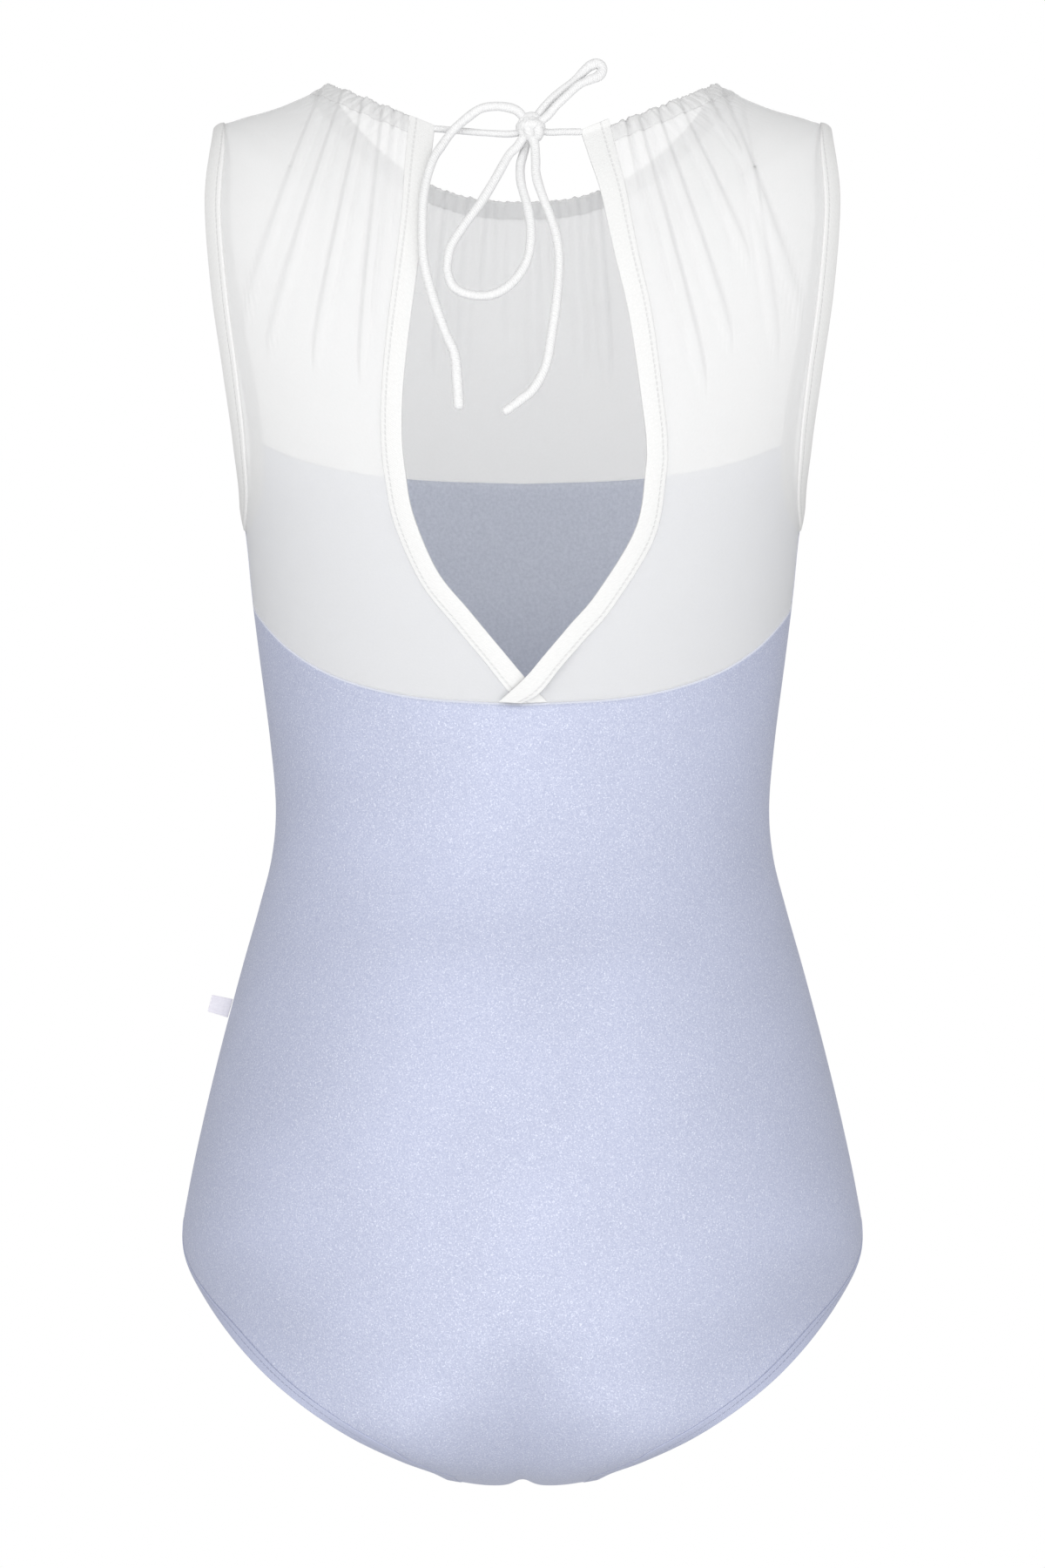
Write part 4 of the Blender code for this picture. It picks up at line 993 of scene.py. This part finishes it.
def casing(face, side, gathers, columns):
    """The tunnel's rows of points, standing a little off the net, from the neckline to its stitches."""
    part = np.linspace(-1 if face == "front" else 0, 1, columns + 1)
    lines = []
    for row in np.linspace(0.0, CASING_ROWS, 13):
        share = part if face == "front" else side * (part + yoke_inner_share(side, row) * (1 - part))
        tunnel = TUNNEL_HEIGHT * math.sin(math.pi * row / CASING_ROWS) ** 0.6
        lines.append(yoke_point(face, np.full(part.shape, row), part, share, gathers, tunnel))
    return [np.array(values) for values in zip(*lines)]


for name, face, side, gathers, columns in (
    ("front", "front", 1, front_gathers, 400),
    ("back_left", "back", 1, GATHERS_BACK_LEFT, 180),
    ("back_right", "back", -1, GATHERS_BACK_RIGHT, 180),
):
    places, drawn = casing(face, side, gathers, columns)
    cloth_piece(
            f"casing_{name}", places, CASING_WALL, net, "binding", (f"neck_casing_{name}",), drawn=drawn
        )

# Keyhole bindings: folded white strips sewn along the edges of the open back, from the neck down to the
# velvet, where the right one passes over the left.
BINDING_WALL = 1.9
BINDING_COLUMNS = 8
STITCHES_IN = 2.9
binding_white, make, shader = finish("white binding", 0.7, 0.0, 0.2)
threads = make("ShaderNodeUVMap", {"uv_map": "cloth"})
parted = make("ShaderNodeSeparateXYZ", Vector=threads.outputs["UV"])
weave = make("ShaderNodeGroup", {"node_tree": ribs}, Coordinate=parted.outputs["Y"], Pitch=0.9 * MM)
tint, yarn = fibres(make, threads.outputs["UV"], (0.82, 0.82, 0.815), (0.77, 0.77, 0.765), 900.0)
row = make(
    "ShaderNodeGroup",
    {"node_tree": stitches},
    Across=parted.outputs["X"],
    Along=parted.outputs["Y"],
    At=STITCHES_IN * MM,
)
# Painted shade: the sunk stitch line is darkened to grey.
stitch_shade = worked(make, "MULTIPLY", row.outputs["Mask"], 0.30)
shaded_at_stitches = tinted(make, stitch_shade, tint, (0.55, 0.55, 0.555, 1))
woven = worked(make, "MULTIPLY_ADD", weave.outputs[0], 0.4, yarn)
binding_white.node_tree.links.new(shaded_at_stitches, shader.inputs["Base Color"])
relief(make, shader, worked(make, "MULTIPLY_ADD", row.outputs["Mask"], -3.0, woven), 0.06 * MM)


def keyhole_binding(side):
    """One strip's rows of points, a little fuller along its middle."""
    lines = KEYHOLE[side]
    places = []
    for position in np.linspace(0, len(lines) - 1, 261):
        line = np.array([np.interp(position, np.arange(len(lines)), column) for column in lines.T])
        edge_x, edge_z, seam_x, seam_z, lift = line[:5]
        across = np.linspace(0, 1, BINDING_COLUMNS + 1)
        x, z = edge_x + (seam_x - edge_x) * across, edge_z + (seam_z - edge_z) * across
        row, share = spot_on_back(x, z)
        fuller = lift + 0.35 * np.sin(across * math.pi)
        raised = form("back", row, share) + outward("back", row, share) * fuller[:, None]
        places.append(np.stack([x, raised[:, 1], z], axis=-1))
    return places


for name, side in (("left", 1), ("right", -1)):
    cloth_piece(
            f"keyhole_edge_{name}",
            keyhole_binding(side),
            BINDING_WALL,
            binding_white,
            "binding",
            (f"keyhole_binding_{name}",),
            round_edge=0.7,
        )

# Armhole bindings: folded white bands sewn round each armhole.
for name, side in (("left", 1), ("right", -1)):
    places = []
    half_turn = np.linspace(0, math.pi, 121)
    for face, turns in (("back", half_turn), ("front", half_turn[::-1][1:])):
        down = (1 - np.cos(turns)) / 2
        seam_row = ARMHOLE_SEAM[0] + (ARMHOLE_SEAM[1] - ARMHOLE_SEAM[0]) * down
        edge_row = ARMHOLE_EDGE[0] + (ARMHOLE_EDGE[1] - ARMHOLE_EDGE[0]) * down
        seam_share, edge_share = oval(ARMHOLE_SEAM, face, seam_row), oval(ARMHOLE_EDGE, face, edge_row)
        across = np.linspace(0, 1, BINDING_COLUMNS + 1)
        row = edge_row[:, None] + (seam_row - edge_row)[:, None] * across
        share = edge_share[:, None] + (seam_share - edge_share)[:, None] * across
        fuller = 0.35 * np.sin(across * math.pi) + 0 * row
        places.append(form(face, row, share) + outward(face, row, share) * fuller[..., None])
    places = np.concatenate(places)
    places[-1] = places[0]
    places[..., 0] *= side
    cloth_piece(
            f"armhole_edge_{name}",
            places,
            BINDING_WALL,
            binding_white,
            "binding",
            (f"armhole_binding_{name}",),
            closed=True,
            round_edge=0.7,
        )

# Side tag: a small bare white tab of woven tape, sewn into the wearer's left side seam.
TAG_WALL = 0.9
TAG_CORNERS = ((133.0, -418.4), (135.4, -426.8), (142.6, -416.4), (144.6, -424.0))
tape, make, shader = finish("woven tape", 0.6, 0.1)
place = make("ShaderNodeTexCoord")
parted = make("ShaderNodeSeparateXYZ", Vector=place.outputs["Object"])
weave = make("ShaderNodeGroup", {"node_tree": ribs}, Coordinate=parted.outputs["Z"], Pitch=0.6 * MM)
tint, _ = fibres(make, place.outputs["Object"], (0.86, 0.84, 0.90), (0.80, 0.78, 0.85), 900.0)
tape.node_tree.links.new(tint, shader.inputs["Base Color"])
relief(make, shader, weave.outputs[0], 0.05 * MM)
inner_top, inner_low, outer_top, outer_low = (np.array((x, 0.0, z)) for x, z in TAG_CORNERS)
down_tag = np.linspace(0, 1, 7)[:, None]
places = [
    (inner_top + (outer_top - inner_top) * out_share) * (1 - down_tag)
    + (inner_low + (outer_low - inner_low) * out_share) * down_tag
    for out_share in np.linspace(0, 1, 9)
]
cloth_piece("side_tab", places, TAG_WALL, tape, "tag", ("side_tag",), round_edge=0.2)

# Room: a pale floor below, white all round, a large soft light from behind the camera and a low one.
floor_mesh = bpy.data.meshes.new("floor")
floor_shape = bmesh.new()
bmesh.ops.create_circle(floor_shape, cap_ends=True, segments=96, radius=0.6)
bmesh.ops.translate(floor_shape, vec=(0, 0, -0.95), verts=floor_shape.verts)
floor_shape.to_mesh(floor_mesh)
floor_shape.free()
floor_white, make, shader = finish("pale floor", 0.8, 0.0)
place = make("ShaderNodeTexCoord")
speckle, _ = fibres(make, place.outputs["Object"], (0.92, 0.92, 0.92), (0.90, 0.90, 0.90), 60.0)
floor_white.node_tree.links.new(speckle, shader.inputs["Base Color"])
floor = bpy.data.objects.new("floor", floor_mesh)
floor_mesh.materials.append(floor_white)
bpy.context.scene.collection.objects.link(floor)

room = bpy.data.worlds.new("room")
room.use_nodes = True
make = node_maker(room.node_tree)
way = make("ShaderNodeTexCoord")
parted = make("ShaderNodeSeparateXYZ", Vector=way.outputs["Generated"])
behind = worked(make, "POWER", worked(make, "MAXIMUM", parted.outputs["Y"], 0.0), 1.6)
glow = worked(make, "MULTIPLY_ADD", behind, 1.1, 0.56)
seen = make("ShaderNodeLightPath").outputs["Is Camera Ray"]
power = make("ShaderNodeMix", {"data_type": "FLOAT"}, i0=seen, i2=glow, i3=1.0)
background = room.node_tree.nodes["Background"]
background.inputs["Color"].default_value = (1, 1, 1, 1)
room.node_tree.links.new(power.outputs[0], background.inputs["Strength"])
bpy.context.scene.world = room
# name, width in metres, watts, place, tilt and swing in degrees
for name, size, energy, spot, tilt, swing in (
    ("softbox", 1.6, 4, (0.5, 4.2, 1.2), 72, 173),
    ("low_fill", 1.2, 9, (0.0, 2.8, -1.9), 116, 180),
):
    lamp_data = bpy.data.lights.new(name, "AREA")
    lamp_data.shape = "DISK"
    lamp_data.size = size
    lamp_data.energy = energy
    lamp = bpy.data.objects.new(name, lamp_data)
    lamp.location = spot
    lamp.rotation_euler = (math.radians(tilt), 0, math.radians(swing))
    bpy.context.scene.collection.objects.link(lamp)
